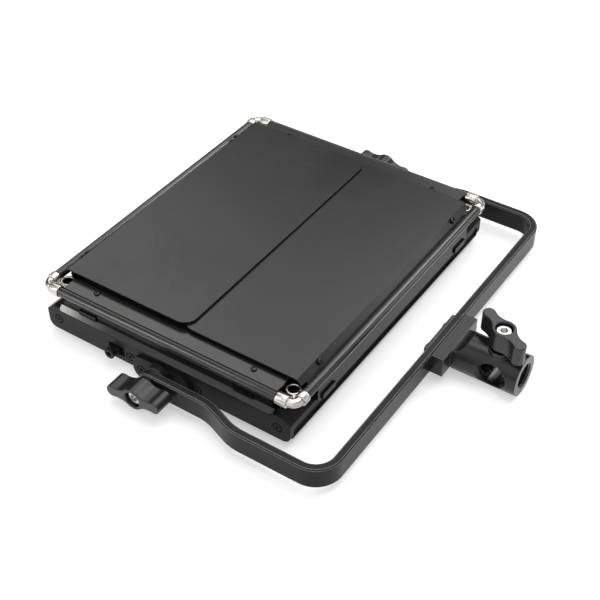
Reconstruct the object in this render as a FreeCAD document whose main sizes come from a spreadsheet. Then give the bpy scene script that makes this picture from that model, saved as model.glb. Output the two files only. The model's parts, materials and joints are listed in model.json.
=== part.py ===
import FreeCAD, Part
import Sketcher
import math
import os
import re

# LED panel light with a four-leaf barn door, lying on its back with the doors shut, in a
# U-shaped yoke that is folded flat beside it and carries a stand receiver.
#
# Frame: millimetres, +Z is up and is the way the light shines, +X points from the panel to
# the base of the yoke, Y runs along the tilt axis. The origin is the centre of the back, on
# the surface that the rubber feet stand on.

Vector = FreeCAD.Vector
Rotation = FreeCAD.Rotation
Placement = FreeCAD.Placement

doc = FreeCAD.newDocument("led_panel_light")
sheet = doc.addObject("Spreadsheet::Sheet", "Dims")

DIMENSIONS = [
    # housing
    ("body_half_x", 99.0, "half width of the housing, over the side rails"),
    ("body_half_y", 125.5, "half length of the housing, over the end plates"),
    ("body_base", 5.2, "height of the back of the housing above the feet's soles"),
    ("body_top", 25.0, "height of the front of the housing"),
    ("bevel_run", 5.6, "width of the bevel along the front edges"),
    ("bevel_drop", 4.7, "height of the same bevel"),
    ("plate_thick", 4.0, "thickness of an end plate"),
    ("plate_round", 6.0, "radius of an end plate's lower corners"),
    ("rail_wall", 4.0, "thickness of a side rail's wall"),
    ("rail_lip", 2.0, "thickness of a side rail's two lips"),
    ("rail_inner", 84.0, "distance from the middle to the edge of the lips"),
    ("rail_round", 3.4, "radius of a side rail's lower edge"),
    ("groove_low", 9.0, "lower edge of the groove in the side rails"),
    ("groove_high", 15.6, "upper edge of the groove in the side rails"),
    ("groove_deep", 1.5, "depth of that groove"),
    ("corner_screw_x", 89.5, "place of the end plate screws"),
    ("corner_screw_z", 14.9, "height of the end plate screws"),
    ("sink_radius", 3.6, "radius of the counterbores in the end and pivot plates"),
    ("sink_deep", 1.0, "depth of those counterbores"),
    ("sunk_head", 2.7, "radius of the screw heads in them"),
    ("sunk_socket", 1.3, "radius of the sockets in those heads"),
    ("foot_x", 70.0, "place of the rubber feet"),
    ("foot_y", 100.0, "place of the rubber feet"),
    ("foot_radius", 8.0, "radius of a rubber foot"),
    ("module_half_x", 62.0, "half width of the raised module on the back"),
    ("module_half_y", 32.0, "half length of the raised module on the back"),
    ("module_round", 6.0, "radius of the module's corners"),
    ("vent_long", 34.0, "length of a vent slot in the back cover"),
    ("vent_wide", 3.0, "width of a vent slot"),
    ("vent_pitch", 8.0, "spacing of the vent slots"),
    # light engine
    ("aperture_half_x", 77.0, "half width of the light opening"),
    ("aperture_half_y", 107.0, "half length of the light opening"),
    ("diffuser_half_x", 91.0, "half width of the diffuser"),
    ("diffuser_half_y", 115.0, "half length of the diffuser"),
    ("diffuser_thick", 2.0, "thickness of the diffuser"),
    ("spreader_base", 13.0, "height of the heat spreader's underside"),
    ("spreader_thick", 2.0, "thickness of the heat spreader"),
    ("spreader_half_y", 108.0, "half length of the heat spreader"),
    ("board_half_x", 80.0, "half width of the LED board"),
    ("board_half_y", 104.0, "half length of the LED board"),
    ("board_thick", 1.6, "thickness of a circuit board"),
    ("chip_size", 5.0, "side of an LED package"),
    ("chip_tall", 0.8, "height of an LED package"),
    ("chip_pitch_x", 25.0, "spacing of the LED packages across the board"),
    ("chip_pitch_y", 26.0, "spacing of the LED packages along the board"),
    ("driver_half_x", 40.0, "half width of the driver board"),
    ("driver_half_y", 55.0, "half length of the driver board"),
    ("driver_base", 9.0, "height of the driver board's underside"),
    # controls in the far end plate
    ("control_z", 15.0, "height of the controls"),
    ("button_x", -71.0, "place of the power button"),
    ("button_radius", 4.0, "radius of the power button"),
    ("dimmer_x", -50.0, "place of the dimmer knob"),
    ("dimmer_radius", 6.5, "radius of the dimmer knob"),
    ("inlet_x", 66.0, "place of the power inlet"),
    ("inlet_bore", 2.8, "radius of the power inlet's bore"),
    ("inlet_pin", 1.05, "radius of the power inlet's centre pin"),
    # tilt pivot
    ("pivot_z", 14.4, "height of the tilt axis"),
    ("pivot_plate_thick", 3.0, "thickness of a pivot plate"),
    ("pivot_plate_half", 23.0, "half width of a pivot plate"),
    ("pivot_plate_top", 20.0, "height of a pivot plate's upper edge"),
    ("pivot_plate_low", 0.6, "height of a pivot plate's lower edge"),
    ("pivot_plate_round", 8.0, "radius of a pivot plate's corners"),
    ("pivot_screw_x", 16.0, "place of the screws in a pivot plate"),
    ("pivot_screw_z", 9.2, "height of those screws"),
    ("outer_screw_x", 27.5, "place of the screws beside a pivot plate"),
    ("outer_screw_z", 12.2, "height of those screws"),
    ("pivot_boss_radius", 8.2, "radius of the boss on a pivot plate"),
    ("pivot_boss_tall", 4.4, "height of that boss"),
    ("washer_radius", 8.0, "radius of a friction washer"),
    ("washer_thick", 1.5, "thickness of a friction washer"),
    ("stud_radius", 3.0, "radius of the M6 clamping screws"),
    ("stud_gap", 0.06, "running clearance round those screws"),
    ("lock_x", -41.5, "place of the small cap screw beside the near pivot"),
    ("lock_z", 11.6, "height of that screw"),
    # yoke
    ("yoke_low", 6.4, "height of the yoke bar's lower edge"),
    ("yoke_high", 22.4, "height of the yoke bar's upper edge"),
    ("yoke_thick", 5.8, "thickness of the yoke bar"),
    ("yoke_waist", 140.4, "half width of the yoke over the pivots"),
    ("yoke_half", 149.7, "half width of the yoke over its wide part"),
    ("yoke_reach", 139.9, "distance from the tilt axis to the base's outer face"),
    ("joggle_from", 46.0, "where the arms start to widen"),
    ("joggle_to", 70.0, "where the arms are at full width"),
    ("yoke_end", 8.1, "how far the arms pass the tilt axis"),
    ("yoke_corner", 19.0, "outer radius of the yoke's two corners"),
    ("joggle_round", 36.0, "radius of the bends in the arms"),
    ("yoke_edge", 0.9, "bevel along the yoke's edges"),
    # stand receiver
    ("block_thick", 9.0, "thickness of the receiver's foot block"),
    ("block_half", 23.8, "half length of the foot block"),
    ("block_low", 7.4, "lower edge of the foot block"),
    ("block_high", 22.0, "upper edge of the foot block"),
    ("socket_z", 14.3, "height of the receiver's axis"),
    ("socket_radius", 14.3, "outer radius of the receiver, a 28.6 mm stand spigot"),
    ("socket_end", 195.5, "distance from the tilt axis to the receiver's mouth"),
    ("bore_radius", 8.15, "radius of the bores for a 16 mm stand pin"),
    ("bore_deep", 38.0, "depth of the bore along the receiver"),
    ("mouth_radius", 9.3, "radius of the bevelled mouths of the bores"),
    ("mouth_deep", 1.3, "depth of those bevels"),
    ("cross_x", 177.4, "place of the cross bore and of the clamping knob"),
    ("cross_radius", 8.8, "radius of the cross bore"),
    ("pad_radius", 8.4, "radius of the pad under the clamping knob"),
    ("pad_top", 30.4, "height of that pad"),
    ("backing_thick", 1.5, "thickness of the plate inside the yoke's base"),
    ("backing_half", 19.0, "half length of that plate"),
    ("bolt_y", 12.0, "place of the two bolts through the yoke's base"),
    ("bolt_radius", 2.5, "radius of those bolts"),
    # wing knobs
    ("knob_gap", 0.4, "gap under a wing knob"),
    ("knob_tall", 16.0, "height of a wing knob"),
    ("hub_radius", 8.0, "radius of a wing knob's hub"),
    ("hub_neck", 6.8, "radius of the hub where it meets the arm"),
    ("lobe_reach", 17.1, "distance from the hub's axis to a wing's round end"),
    ("lobe_radius", 4.4, "radius of a wing's round end"),
    ("waist_round", 13.0, "radius of the hollow between hub and wing"),
    ("wing_lift", 1.6, "height of the wings' underside above the hub's foot"),
    ("well_radius", 5.9, "radius of the well round the cap screw's head"),
    ("well_deep", 8.0, "depth of that well"),
    ("cap_radius", 5.0, "radius of an M6 cap screw's head"),
    ("cap_tall", 6.0, "height of that head"),
    ("hex_flat", 5.0, "width of the hexagon socket across its flats"),
    ("hex_deep", 3.2, "depth of the hexagon socket"),
    # barn door
    ("door_x", 100.5, "distance from the middle to the side hinges' axes"),
    ("door_y", 122.0, "distance from the middle to the end hinges' axes"),
    ("door_z", 37.6, "height of all four hinge axes"),
    ("barrel_radius", 3.4, "radius of a hinge barrel"),
    ("rod_radius", 1.5, "radius of a hinge rod"),
    ("rod_gap", 0.06, "running clearance round a hinge rod"),
    ("barrel_gap", 0.5, "gap between a barrel and the collars"),
    ("bend_radius", 5.0, "radius of the elbows' centre line"),
    ("elbow_radius", 3.0, "radius of an elbow"),
    ("collar_radius", 4.2, "radius of a collar"),
    ("collar_x_long", 8.0, "length of the collars along X"),
    ("collar_y_long", 5.5, "length of the collars along Y"),
    ("cup_x", 91.5, "place of the corner cups"),
    ("cup_y", 110.5, "place of the corner cups"),
    ("cup_radius", 5.0, "radius of a corner cup"),
    ("cup_bore", 3.4, "radius of the hole in a corner cup"),
    ("cup_base", 31.0, "height of a corner cup's foot"),
    ("cup_top", 37.4, "height of a corner cup's rim"),
    ("sheet_thick", 1.0, "thickness of the leaves and door rails"),
    ("leaf_half_y", 108.2, "half length of the two side leaves"),
    ("fold_x", 92.3, "distance from the middle to the side leaves' folds"),
    ("left_top", 45.4, "height of the shut left leaf's face"),
    ("right_top", 43.6, "height of the shut right leaf's face"),
    ("left_free", 9.5, "place of the left leaf's free edge"),
    ("right_free", 3.0, "place of the right leaf's free edge"),
    ("leaf_round", 9.0, "radius of the side leaves' free corners"),
    ("strip_top", 40.4, "height of the end leaves' strips"),
    ("strip_inner", 108.5, "distance from the middle to the strips' inner edges"),
    ("strip_half", 86.0, "half length of the strips"),
    ("end_leaf_free", 50.0, "distance from the middle to the end leaves' free edges"),
    ("end_leaf_slant", 22.5, "offset of the end leaves' 45 degree sides"),
    ("strip_screw_x", 63.5, "place of the strips' screws"),
    ("strip_screw_y", 112.6, "place of the strips' screws"),
    ("fold_screw_y", 85.9, "place of the side leaves' screws"),
    ("leaf_screw", 1.2, "radius of the leaves' screws"),
    ("leaf_screw_head", 2.1, "radius of their pan heads"),
    ("leaf_screw_tall", 1.3, "height of their pan heads"),
    # rails that hold the barn door
    ("sill_out", 127.6, "distance from the middle to the end rails' outer edges"),
    ("sill_edge", 0.7, "thickness of the feet at their outer edges"),
    ("sill_rise", 3.0, "height of the feet where they meet the walls"),
    ("sill_half", 87.0, "half length of the end rails' feet"),
    ("sill_wall", 123.5, "distance from the middle to the end rails' walls"),
    ("sill_top", 33.5, "height of the end rails"),
    ("sill_wall_half", 84.5, "half length of the end rails' walls"),
    ("hem_half", 82.5, "half length of the rolled hems"),
    ("hem_thick", 1.7, "thickness of the rolled hems"),
    ("hem_tall", 2.8, "height of the rolled hems"),
    ("skirt_out", 101.2, "distance from the middle to the side rails' skirts"),
    ("skirt_low", 19.4, "height of the skirts' lower edges"),
    ("skirt_top", 33.4, "height of the skirts' upper edges"),
    ("skirt_half", 98.0, "half length of the skirts"),
    ("clip_from", 55.9, "nearer end of a clip on an end rail"),
    ("clip_to", 70.2, "further end of a clip on an end rail"),
    ("side_clip_from", 79.3, "nearer end of a clip on a side rail"),
    ("side_clip_to", 93.7, "further end of a clip on a side rail"),
    ("clip_proud", 1.3, "how far a clip stands out"),
    ("clip_top", 6.6, "height of the end rails' clips above the housing"),
]

CHIP_COLUMNS = 6
CHIP_ROWS = 8
VENT_COUNT = 7

for row, (alias, size, meaning) in enumerate(DIMENSIONS, start=1):
    sheet.set("A%d" % row, str(size))
    sheet.setAlias("A%d" % row, alias)
    sheet.set("B%d" % row, meaning)
doc.recompute()

ALIASES = {alias for alias, size, meaning in DIMENSIONS}
subparts = []


def dim(alias):
    """The present value of one cell of the sheet."""
    return float(sheet.get(alias))


def formula(text):
    """Spell an expression on plain aliases the way that the sheet is read."""
    def spell(match):
        word = match.group()
        return "Dims." + word if word in ALIASES else word
    return re.sub(r"[a-z_]+", spell, text)


def bind(thing, **properties):
    for name, text in properties.items():
        thing.setExpression(name, formula(text))


def move(thing, x="0", y="0", z="0"):
    for axis, text in (("x", x), ("y", y), ("z", z)):
        thing.setExpression("Placement.Base." + axis, formula(text))


def subpart(thing, label):
    """Give a finished piece its name and list it for export."""
    thing.Label = label
    subparts.append(thing)
    return thing


def mirrored(sign, text):
    """The expression, on the side of the middle that the sign says."""
    return "%d * (%s)" % (sign, text)


# ---- primitives and booleans ----------------------------------------------------------

def box(name, x, y, z):
    """A box between two expressions along each axis, the lower one first."""
    thing = doc.addObject("Part::Box", name)
    for side, (low, high) in (("Length", x), ("Width", y), ("Height", z)):
        thing.setExpression(side, formula("(%s) - (%s)" % (high, low)))
    move(thing, x[0], y[0], z[0])
    return thing


TURNS = {
    "+x": Rotation(Vector(0, 1, 0), 90),
    "-x": Rotation(Vector(0, 1, 0), -90),
    "+y": Rotation(Vector(1, 0, 0), -90),
    "-y": Rotation(Vector(1, 0, 0), 90),
    "+z": Rotation(),
    "-z": Rotation(Vector(1, 0, 0), 180),
}


def rod(name, radius, length, start, way):
    """A cylinder from a start point along one of the six axis directions."""
    thing = doc.addObject("Part::Cylinder", name)
    thing.Placement = Placement(Vector(), TURNS[way])
    bind(thing, Radius=radius, Height=length)
    move(thing, *start)
    return thing


def cone(name, foot, tip, length, start, way):
    thing = doc.addObject("Part::Cone", name)
    thing.Placement = Placement(Vector(), TURNS[way])
    bind(thing, Radius1=foot, Radius2=tip, Height=length)
    move(thing, *start)
    return thing


def fuse(name, things):
    thing = doc.addObject("Part::MultiFuse", name)
    thing.Shapes = things
    return thing


def cut(name, base, tools):
    thing = doc.addObject("Part::Cut", name)
    thing.Base = base
    thing.Tool = tools[0] if len(tools) == 1 else fuse(name + "_tools", tools)
    return thing


def group(name, things):
    """Separate solids that are kept together, such as a set of screws."""
    thing = doc.addObject("Part::Compound", name)
    thing.Links = things
    return thing


# ---- bodies made from sketches --------------------------------------------------------

def pad(label, plane, outline, thick, at=("0", "0", "0"), holes=()):
    """A body padded both ways from one origin plane.

    The outline is a list of corners and the holes are (across, up, radius), all of them
    expressions, and each one becomes a named constraint of the sketch.
    """
    body = doc.addObject("PartDesign::Body", label)
    sketch = body.newObject("Sketcher::SketchObject", label + "_outline")
    for feature in body.Origin.OriginFeatures:
        if feature.Role == plane + "_Plane":
            sketch.AttachmentSupport = [(feature, "")]
    sketch.MapMode = "FlatFace"
    count = len(outline)
    start = [Vector(10 * math.cos(2 * math.pi * i / count), 10 * math.sin(2 * math.pi * i / count), 0)
             for i in range(count)]
    for i in range(count):
        sketch.addGeometry(Part.LineSegment(start[i], start[(i + 1) % count]), False)
    for i in range(count):
        sketch.addConstraint(Sketcher.Constraint("Coincident", i, 2, (i + 1) % count, 1))
    for i, (across, up) in enumerate(outline):
        for kind, text, value in (("DistanceX", across, start[i].x), ("DistanceY", up, start[i].y)):
            index = sketch.addConstraint(Sketcher.Constraint(kind, -1, 1, i, 1, value))
            name = "corner_%d_%s" % (i, kind[-1].lower())
            sketch.renameConstraint(index, name)
            sketch.setExpression("Constraints." + name, formula(text))
    for i, (across, up, radius) in enumerate(holes):
        ring = sketch.addGeometry(Part.Circle(Vector(30 + 3 * i, 30, 0), Vector(0, 0, 1), 1), False)
        bound = (("DistanceX", across, (-1, 1, ring, 3, 30 + 3 * i)),
                 ("DistanceY", up, (-1, 1, ring, 3, 30)),
                 ("Radius", radius, (ring, 1)))
        for kind, text, where in bound:
            index = sketch.addConstraint(Sketcher.Constraint(kind, *where))
            name = "hole_%d_%s" % (i, kind.lower())
            sketch.renameConstraint(index, name)
            sketch.setExpression("Constraints." + name, formula(text))
    solid = body.newObject("PartDesign::Pad", label + "_pad")
    solid.Profile = sketch
    solid.Midplane = True
    solid.setExpression("Length", formula(thick))
    move(body, *at)
    doc.recompute()
    return body


def edges_where(shape, test):
    """Names of the straight edges whose two ends both pass the test."""
    found = []
    for index, edge in enumerate(shape.Edges, start=1):
        ends = [vertex.Point for vertex in edge.Vertexes]
        if len(ends) == 2 and test(*ends):
            found.append("Edge%d" % index)
    return found


def near(first, second, slack=0.02):
    return abs(first - second) < slack


def round_edges(body, name, radius, test):
    """Fillet the chosen edges of a body's last feature."""
    doc.recompute()
    base = body.Tip
    feature = body.newObject("PartDesign::Fillet", name)
    feature.Base = (base, edges_where(base.Shape, test))
    feature.setExpression("Radius", formula(radius))
    doc.recompute()
    return feature


def bevel_edges(body, name, size, test):
    """Bevel the chosen edges of a body's last feature."""
    doc.recompute()
    base = body.Tip
    names = ["Edge%d" % index for index, edge in enumerate(base.Shape.Edges, start=1) if test(edge)]
    feature = body.newObject("PartDesign::Chamfer", name)
    feature.Base = (base, names)
    feature.setExpression("Size", formula(size))
    doc.recompute()
    return feature


# ---- housing --------------------------------------------------------------------------

def side_rail(side, sign):
    """Extruded channel with a bevelled front edge and a long groove in its outer face."""
    body_side = "body_half_x"
    groove_floor = "body_half_x - groove_deep"
    wall = "body_half_x - rail_wall"
    bevel_foot = "body_top - bevel_drop"
    outline = [
        ("rail_inner", "body_base"),
        (body_side, "body_base"),
        (body_side, "groove_low"),
        (groove_floor, "groove_low"),
        (groove_floor, "groove_high"),
        (body_side, "groove_high"),
        (body_side, bevel_foot),
        ("body_half_x - bevel_run", "body_top"),
        ("rail_inner", "body_top"),
        ("rail_inner", "body_top - rail_lip"),
        ("body_half_x - bevel_run - 1.2", "body_top - rail_lip"),
        (wall, bevel_foot),
        (wall, "body_base + rail_lip"),
        ("rail_inner", "body_base + rail_lip"),
    ]
    outline = [(mirrored(sign, across), up) for across, up in outline]
    body = pad(side + "_side_rail", "XZ", outline, "2 * (body_half_y - plate_thick)")
    edge_x = sign * dim("body_half_x")
    edge_z = dim("body_base")
    round_edges(body, side + "_rail_round", "rail_round",
                lambda a, b: near(a.x, edge_x) and near(b.x, edge_x)
                and near(a.z, edge_z) and near(b.z, edge_z))
    return subpart(body, side + "_side_rail")


def end_plate(side, sign, holes):
    """Flat plate that closes one end of the housing."""
    bevel_foot = "body_top - bevel_drop"
    outline = [
        ("-body_half_x", "body_base"), ("body_half_x", "body_base"),
        ("body_half_x", bevel_foot), ("body_half_x - bevel_run", "body_top"),
        ("bevel_run - body_half_x", "body_top"), ("-body_half_x", bevel_foot),
    ]
    screws = [(mirrored(turn, across), up, "1.5") for turn in (-1, 1)
              for across, up in (("corner_screw_x", "corner_screw_z"), ("pivot_screw_x", "pivot_screw_z"),
                                 ("outer_screw_x", "outer_screw_z"))]
    body = pad(side + "_plate_blank", "XZ", outline, "plate_thick",
               at=("0", mirrored(sign, "body_half_y - plate_thick / 2"), "0"),
               holes=[("0", "pivot_z", "stud_radius + stud_gap")] + screws + holes)
    edge_x = dim("body_half_x")
    edge_z = dim("body_base")
    round_edges(body, side + "_plate_round", "plate_round",
                lambda a, b: near(abs(a.x), edge_x) and near(a.x, b.x)
                and near(a.z, edge_z) and near(b.z, edge_z))
    return body


def sinks(side, sign, face, spots):
    """Counterbores for screw heads in an end plate or a pivot plate."""
    return [rod("%s_sink_%d" % (side, count), "sink_radius", "sink_deep + 1",
                (mirrored(turn, across), mirrored(sign, face + " - sink_deep"), up), "+y" if sign > 0 else "-y")
            for count, (turn, across, up) in enumerate((turn, across, up) for turn in (-1, 1)
                                                       for across, up in spots)]


def end_plate_sinks(side, sign):
    return sinks(side + "_plate", sign, "body_half_y",
                 [("corner_screw_x", "corner_screw_z"), ("outer_screw_x", "outer_screw_z")])


def sunk_screw(name, sign, x, z, face, length):
    """Socket screw with its head in a counterbore."""
    way = "+y" if sign > 0 else "-y"
    seat = face + " - sink_deep"
    shank = rod(name + "_shank", "1.5", length, (x, mirrored(sign, "%s - (%s)" % (seat, length)), z), way)
    head = rod(name + "_head", "sunk_head", "sink_deep + 0.1", (x, mirrored(sign, seat), z), way)
    socket = rod(name + "_socket", "sunk_socket", "1.6", (x, mirrored(sign, face + " - 0.7"), z), way)
    return cut(name, fuse(name + "_body", [shank, head]), [socket])


def near_end_plate():
    """The near plate has a shallow recess for the small cap screw's block."""
    body = end_plate("near", -1, [("lock_x", "lock_z", "1.6")])
    recess = box("near_recess", ("lock_x - 4", "lock_x + 9"), ("-body_half_y - 1", "-body_half_y + 2.4"),
                 ("lock_z - 2.4", "lock_z + 5.6"))
    return subpart(cut("near_plate_cut", body, [recess] + end_plate_sinks("near", -1)), "near_end_plate")


def far_end_plate():
    """The far plate carries the power button, the dimmer and the power inlet."""
    holes = [("button_x", "control_z", "button_radius + 1.6"),
             ("dimmer_x", "control_z", "3.6"),
             ("inlet_x", "control_z", "5.5")]
    body = end_plate("far", 1, holes)
    return subpart(cut("far_plate_cut", body, end_plate_sinks("far", 1)), "far_end_plate")


def end_plate_screws():
    """Four socket screws that hold the end plates to the rails."""
    screws = [sunk_screw("plate_screw_%d_%d" % (sign, turn), sign, mirrored(turn, "corner_screw_x"),
                         "corner_screw_z", "body_half_y", "plate_thick - sink_deep")
              for sign in (-1, 1) for turn in (-1, 1)]
    return subpart(group("plate_screws", screws), "end_plate_screws")


def back_cover():
    """Sheet between the rails' lower lips, with two rows of vent slots."""
    plate = box("back_sheet", ("-rail_inner", "rail_inner"),
                ("plate_thick - body_half_y", "body_half_y - plate_thick"),
                ("body_base", "body_base + rail_lip"))
    slots = []
    for row in (-1, 1):
        for step in range(VENT_COUNT):
            offset = step - (VENT_COUNT - 1) / 2
            middle = "%d * 64 + %.1f * vent_pitch" % (row, offset)
            slots.append(box("vent_%d" % len(slots), ("-vent_long / 2", "vent_long / 2"),
                             (middle + " - vent_wide / 2", middle + " + vent_wide / 2"),
                             ("body_base - 1", "body_base + rail_lip + 1")))
    return subpart(cut("back_sheet_cut", plate, slots), "back_cover")


def back_module():
    """Raised module for the driver, whose flat base is level with the feet."""
    body = pad("module_block", "XY", [("-module_half_x", "-module_half_y"), ("module_half_x", "-module_half_y"),
                                      ("module_half_x", "module_half_y"), ("-module_half_x", "module_half_y")],
               "body_base", at=("0", "0", "body_base / 2"))
    round_edges(body, "module_corners", "module_round", lambda a, b: near(a.x, b.x) and near(a.y, b.y))
    return subpart(body, "back_module")


def back_cover_screws():
    """Six pan-head screws in the back."""
    screws = []
    for x in ("-76", "76"):
        for y in ("-110", "0", "110"):
            name = "back_screw_%d" % len(screws)
            screws.append(cone(name, "1.9", "2.6", "1.1", (x, y, "body_base - 1.1"), "+z"))
    return subpart(group("back_screws", screws), "back_cover_screws")


def rubber_feet():
    feet = []
    for x in (-1, 1):
        for y in (-1, 1):
            name = "foot_%d" % len(feet)
            start = (mirrored(x, "foot_x"), mirrored(y, "foot_y"), "0")
            feet.append(cone(name, "foot_radius - 0.8", "foot_radius", "body_base", start, "+z"))
    return subpart(group("feet", feet), "rubber_feet")


def front_bezel():
    """Frame round the light opening, between the rails' upper lips."""
    plate = box("bezel_sheet", ("-rail_inner", "rail_inner"),
                ("plate_thick - body_half_y", "body_half_y - plate_thick"),
                ("body_top - rail_lip", "body_top"))
    opening = box("bezel_opening", ("-aperture_half_x", "aperture_half_x"),
                  ("-aperture_half_y", "aperture_half_y"), ("body_top - rail_lip - 1", "body_top + 1"))
    return subpart(cut("bezel_cut", plate, [opening]), "front_bezel")


def diffuser():
    top = "body_top - rail_lip"
    return subpart(box("diffuser_sheet", ("-diffuser_half_x", "diffuser_half_x"),
                       ("-diffuser_half_y", "diffuser_half_y"),
                       (top + " - diffuser_thick", top)), "diffuser")


def heat_spreader():
    return subpart(box("spreader_sheet", ("rail_wall - body_half_x", "body_half_x - rail_wall"),
                       ("-spreader_half_y", "spreader_half_y"),
                       ("spreader_base", "spreader_base + spreader_thick")), "heat_spreader")


def led_board():
    base = "spreader_base + spreader_thick"
    return subpart(box("led_sheet", ("-board_half_x", "board_half_x"),
                       ("-board_half_y", "board_half_y"), (base, base + " + board_thick")), "led_board")


def led_chips():
    base = "spreader_base + spreader_thick + board_thick"
    chips = []
    for column in range(CHIP_COLUMNS):
        for line in range(CHIP_ROWS):
            x = "%.1f * chip_pitch_x" % (column - (CHIP_COLUMNS - 1) / 2)
            y = "%.1f * chip_pitch_y" % (line - (CHIP_ROWS - 1) / 2)
            chips.append(box("chip_%d" % len(chips), (x + " - chip_size / 2", x + " + chip_size / 2"),
                             (y + " - chip_size / 2", y + " + chip_size / 2"),
                             (base, base + " + chip_tall")))
    return subpart(group("chips", chips), "led_chips")


def driver_board():
    """Board with its transformer and capacitors, on four standoffs on the back cover."""
    floor = "body_base + rail_lip"
    pieces = [box("driver_sheet", ("-driver_half_x", "driver_half_x"),
                  ("-driver_half_y", "driver_half_y"), ("driver_base", "driver_base + board_thick"))]
    for x in (-1, 1):
        for y in (-1, 1):
            start = (mirrored(x, "driver_half_x - 4"), mirrored(y, "driver_half_y - 4"), floor)
            pieces.append(rod("driver_post_%d" % len(pieces), "2.5", "driver_base - (%s)" % floor,
                              start, "+z"))
    top = "driver_base + board_thick"
    for x, y, half in (("-20", "-30", 9), ("14", "-34", 7), ("-10", "12", 11), ("20", "30", 8)):
        pieces.append(box("driver_block_%d" % len(pieces), ("%s - %d" % (x, half), "%s + %d" % (x, half)),
                          ("%s - %d" % (y, half), "%s + %d" % (y, half)), (top, top + " + 1.8")))
    return subpart(fuse("driver", pieces), "driver_board")


# ---- controls -------------------------------------------------------------------------

def power_switch():
    """Round switch body in the far end plate."""
    outside = rod("switch_flange", "button_radius + 3", "2", ("button_x", "body_half_y", "control_z"), "+y")
    inside = rod("switch_body", "button_radius + 1.6", "plate_thick + 8",
                 ("button_x", "body_half_y - plate_thick - 8", "control_z"), "+y")
    well = rod("switch_well", "button_radius + 0.2", "plate_thick + 5",
               ("button_x", "body_half_y - 5", "control_z"), "+y")
    return subpart(cut("switch_cut", fuse("switch_shell", [outside, inside]), [well]), "power_switch")


def power_button():
    """Cap that is pushed in to switch the light."""
    stem = rod("button_stem", "button_radius", "6.6", ("button_x", "body_half_y - 2.4", "control_z"), "+y")
    cap = cone("button_cap", "button_radius", "button_radius - 0.5", "0.5",
               ("button_x", "body_half_y + 4.2", "control_z"), "+y")
    return subpart(fuse("button", [stem, cap]), "power_button")


def dimmer_control():
    """Potentiometer behind the far end plate, which the dimmer's spindle turns in."""
    case = box("pot_case", ("dimmer_x - 7", "dimmer_x + 7"),
               ("body_half_y - plate_thick - 9", "body_half_y - plate_thick"), ("control_z - 6", "control_z + 6"))
    hole = rod("pot_hole", "3.06", "9", ("dimmer_x", "body_half_y - plate_thick - 7", "control_z"), "+y")
    return subpart(cut("pot", case, [hole]), "dimmer_potentiometer")


def dimmer_knob():
    """Knob with a pointer groove, on a spindle through the far end plate."""
    skirt = rod("dimmer_skirt", "dimmer_radius", "7", ("dimmer_x", "body_half_y + 0.5", "control_z"), "+y")
    crown = cone("dimmer_crown", "dimmer_radius", "dimmer_radius - 1", "1",
                 ("dimmer_x", "body_half_y + 7.5", "control_z"), "+y")
    spindle = rod("dimmer_spindle", "3", "plate_thick + 6.5",
                  ("dimmer_x", "body_half_y - plate_thick - 6", "control_z"), "+y")
    pointer = box("dimmer_pointer", ("dimmer_x - 0.5", "dimmer_x + 0.5"),
                  ("body_half_y + 8", "body_half_y + 9"), ("control_z + 1.5", "control_z + 7"))
    knob = fuse("dimmer_round", [skirt, crown, spindle])
    return subpart(cut("dimmer", knob, [pointer]), "dimmer_knob")


def power_inlet():
    """Barrel socket for a low-voltage supply, with its centre pin."""
    flange = rod("inlet_flange", "7", "1.5", ("inlet_x", "body_half_y", "control_z"), "+y")
    barrel = rod("inlet_barrel", "5.5", "plate_thick + 8",
                 ("inlet_x", "body_half_y - plate_thick - 8", "control_z"), "+y")
    well = rod("inlet_well", "inlet_bore", "12", ("inlet_x", "body_half_y - 8.5", "control_z"), "+y")
    pin = rod("inlet_pin_rod", "inlet_pin", "9", ("inlet_x", "body_half_y - 9", "control_z"), "+y")
    shell = cut("inlet_shell", fuse("inlet_round", [flange, barrel]), [well])
    return subpart(fuse("inlet", [shell, pin]), "power_inlet")


# ---- tilt pivot -----------------------------------------------------------------------

def pivot_plate(side, sign):
    """Plate on the end of the housing with the boss that the yoke arm turns against."""
    outline = [("-pivot_plate_half", "pivot_plate_low"), ("pivot_plate_half", "pivot_plate_low"),
               ("pivot_plate_half", "pivot_plate_top"), ("-pivot_plate_half", "pivot_plate_top")]
    screws = [(mirrored(turn, "pivot_screw_x"), "pivot_screw_z", "1.5") for turn in (-1, 1)]
    plate = pad(side + "_pivot_sheet", "XZ", outline, "pivot_plate_thick",
                at=("0", mirrored(sign, "body_half_y + pivot_plate_thick / 2"), "0"), holes=screws)
    round_edges(plate, side + "_pivot_round", "pivot_plate_round",
                lambda a, b: near(a.z, b.z) and near(a.x, b.x))
    way = "+y" if sign > 0 else "-y"
    boss = rod(side + "_pivot_boss", "pivot_boss_radius", "pivot_boss_tall",
               ("0", mirrored(sign, "body_half_y + pivot_plate_thick"), "pivot_z"), way)
    hole = rod(side + "_pivot_hole", "stud_radius + stud_gap", "20",
               ("0", mirrored(sign, "body_half_y - 2"), "pivot_z"), way)
    whole = fuse(side + "_pivot_whole", [plate, boss])
    seats = sinks(side + "_pivot", sign, "body_half_y + pivot_plate_thick", [("pivot_screw_x", "pivot_screw_z")])
    return subpart(cut(side + "_pivot_cut", whole, [hole] + seats), side + "_pivot_plate")


def pivot_plate_screws():
    """Two screws in each pivot plate and one beside each of its ends."""
    screws = []
    for sign in (-1, 1):
        for turn in (-1, 1):
            for across, up, face, length in (
                    ("pivot_screw_x", "pivot_screw_z", "body_half_y + pivot_plate_thick",
                     "plate_thick - 1.5 + pivot_plate_thick"),
                    ("outer_screw_x", "outer_screw_z", "body_half_y", "plate_thick - 1.5")):
                screws.append(sunk_screw("pivot_screw_%d" % len(screws), sign,
                                         mirrored(turn, across), up, face, length))
    return subpart(group("pivot_screws", screws), "pivot_plate_screws")


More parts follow.
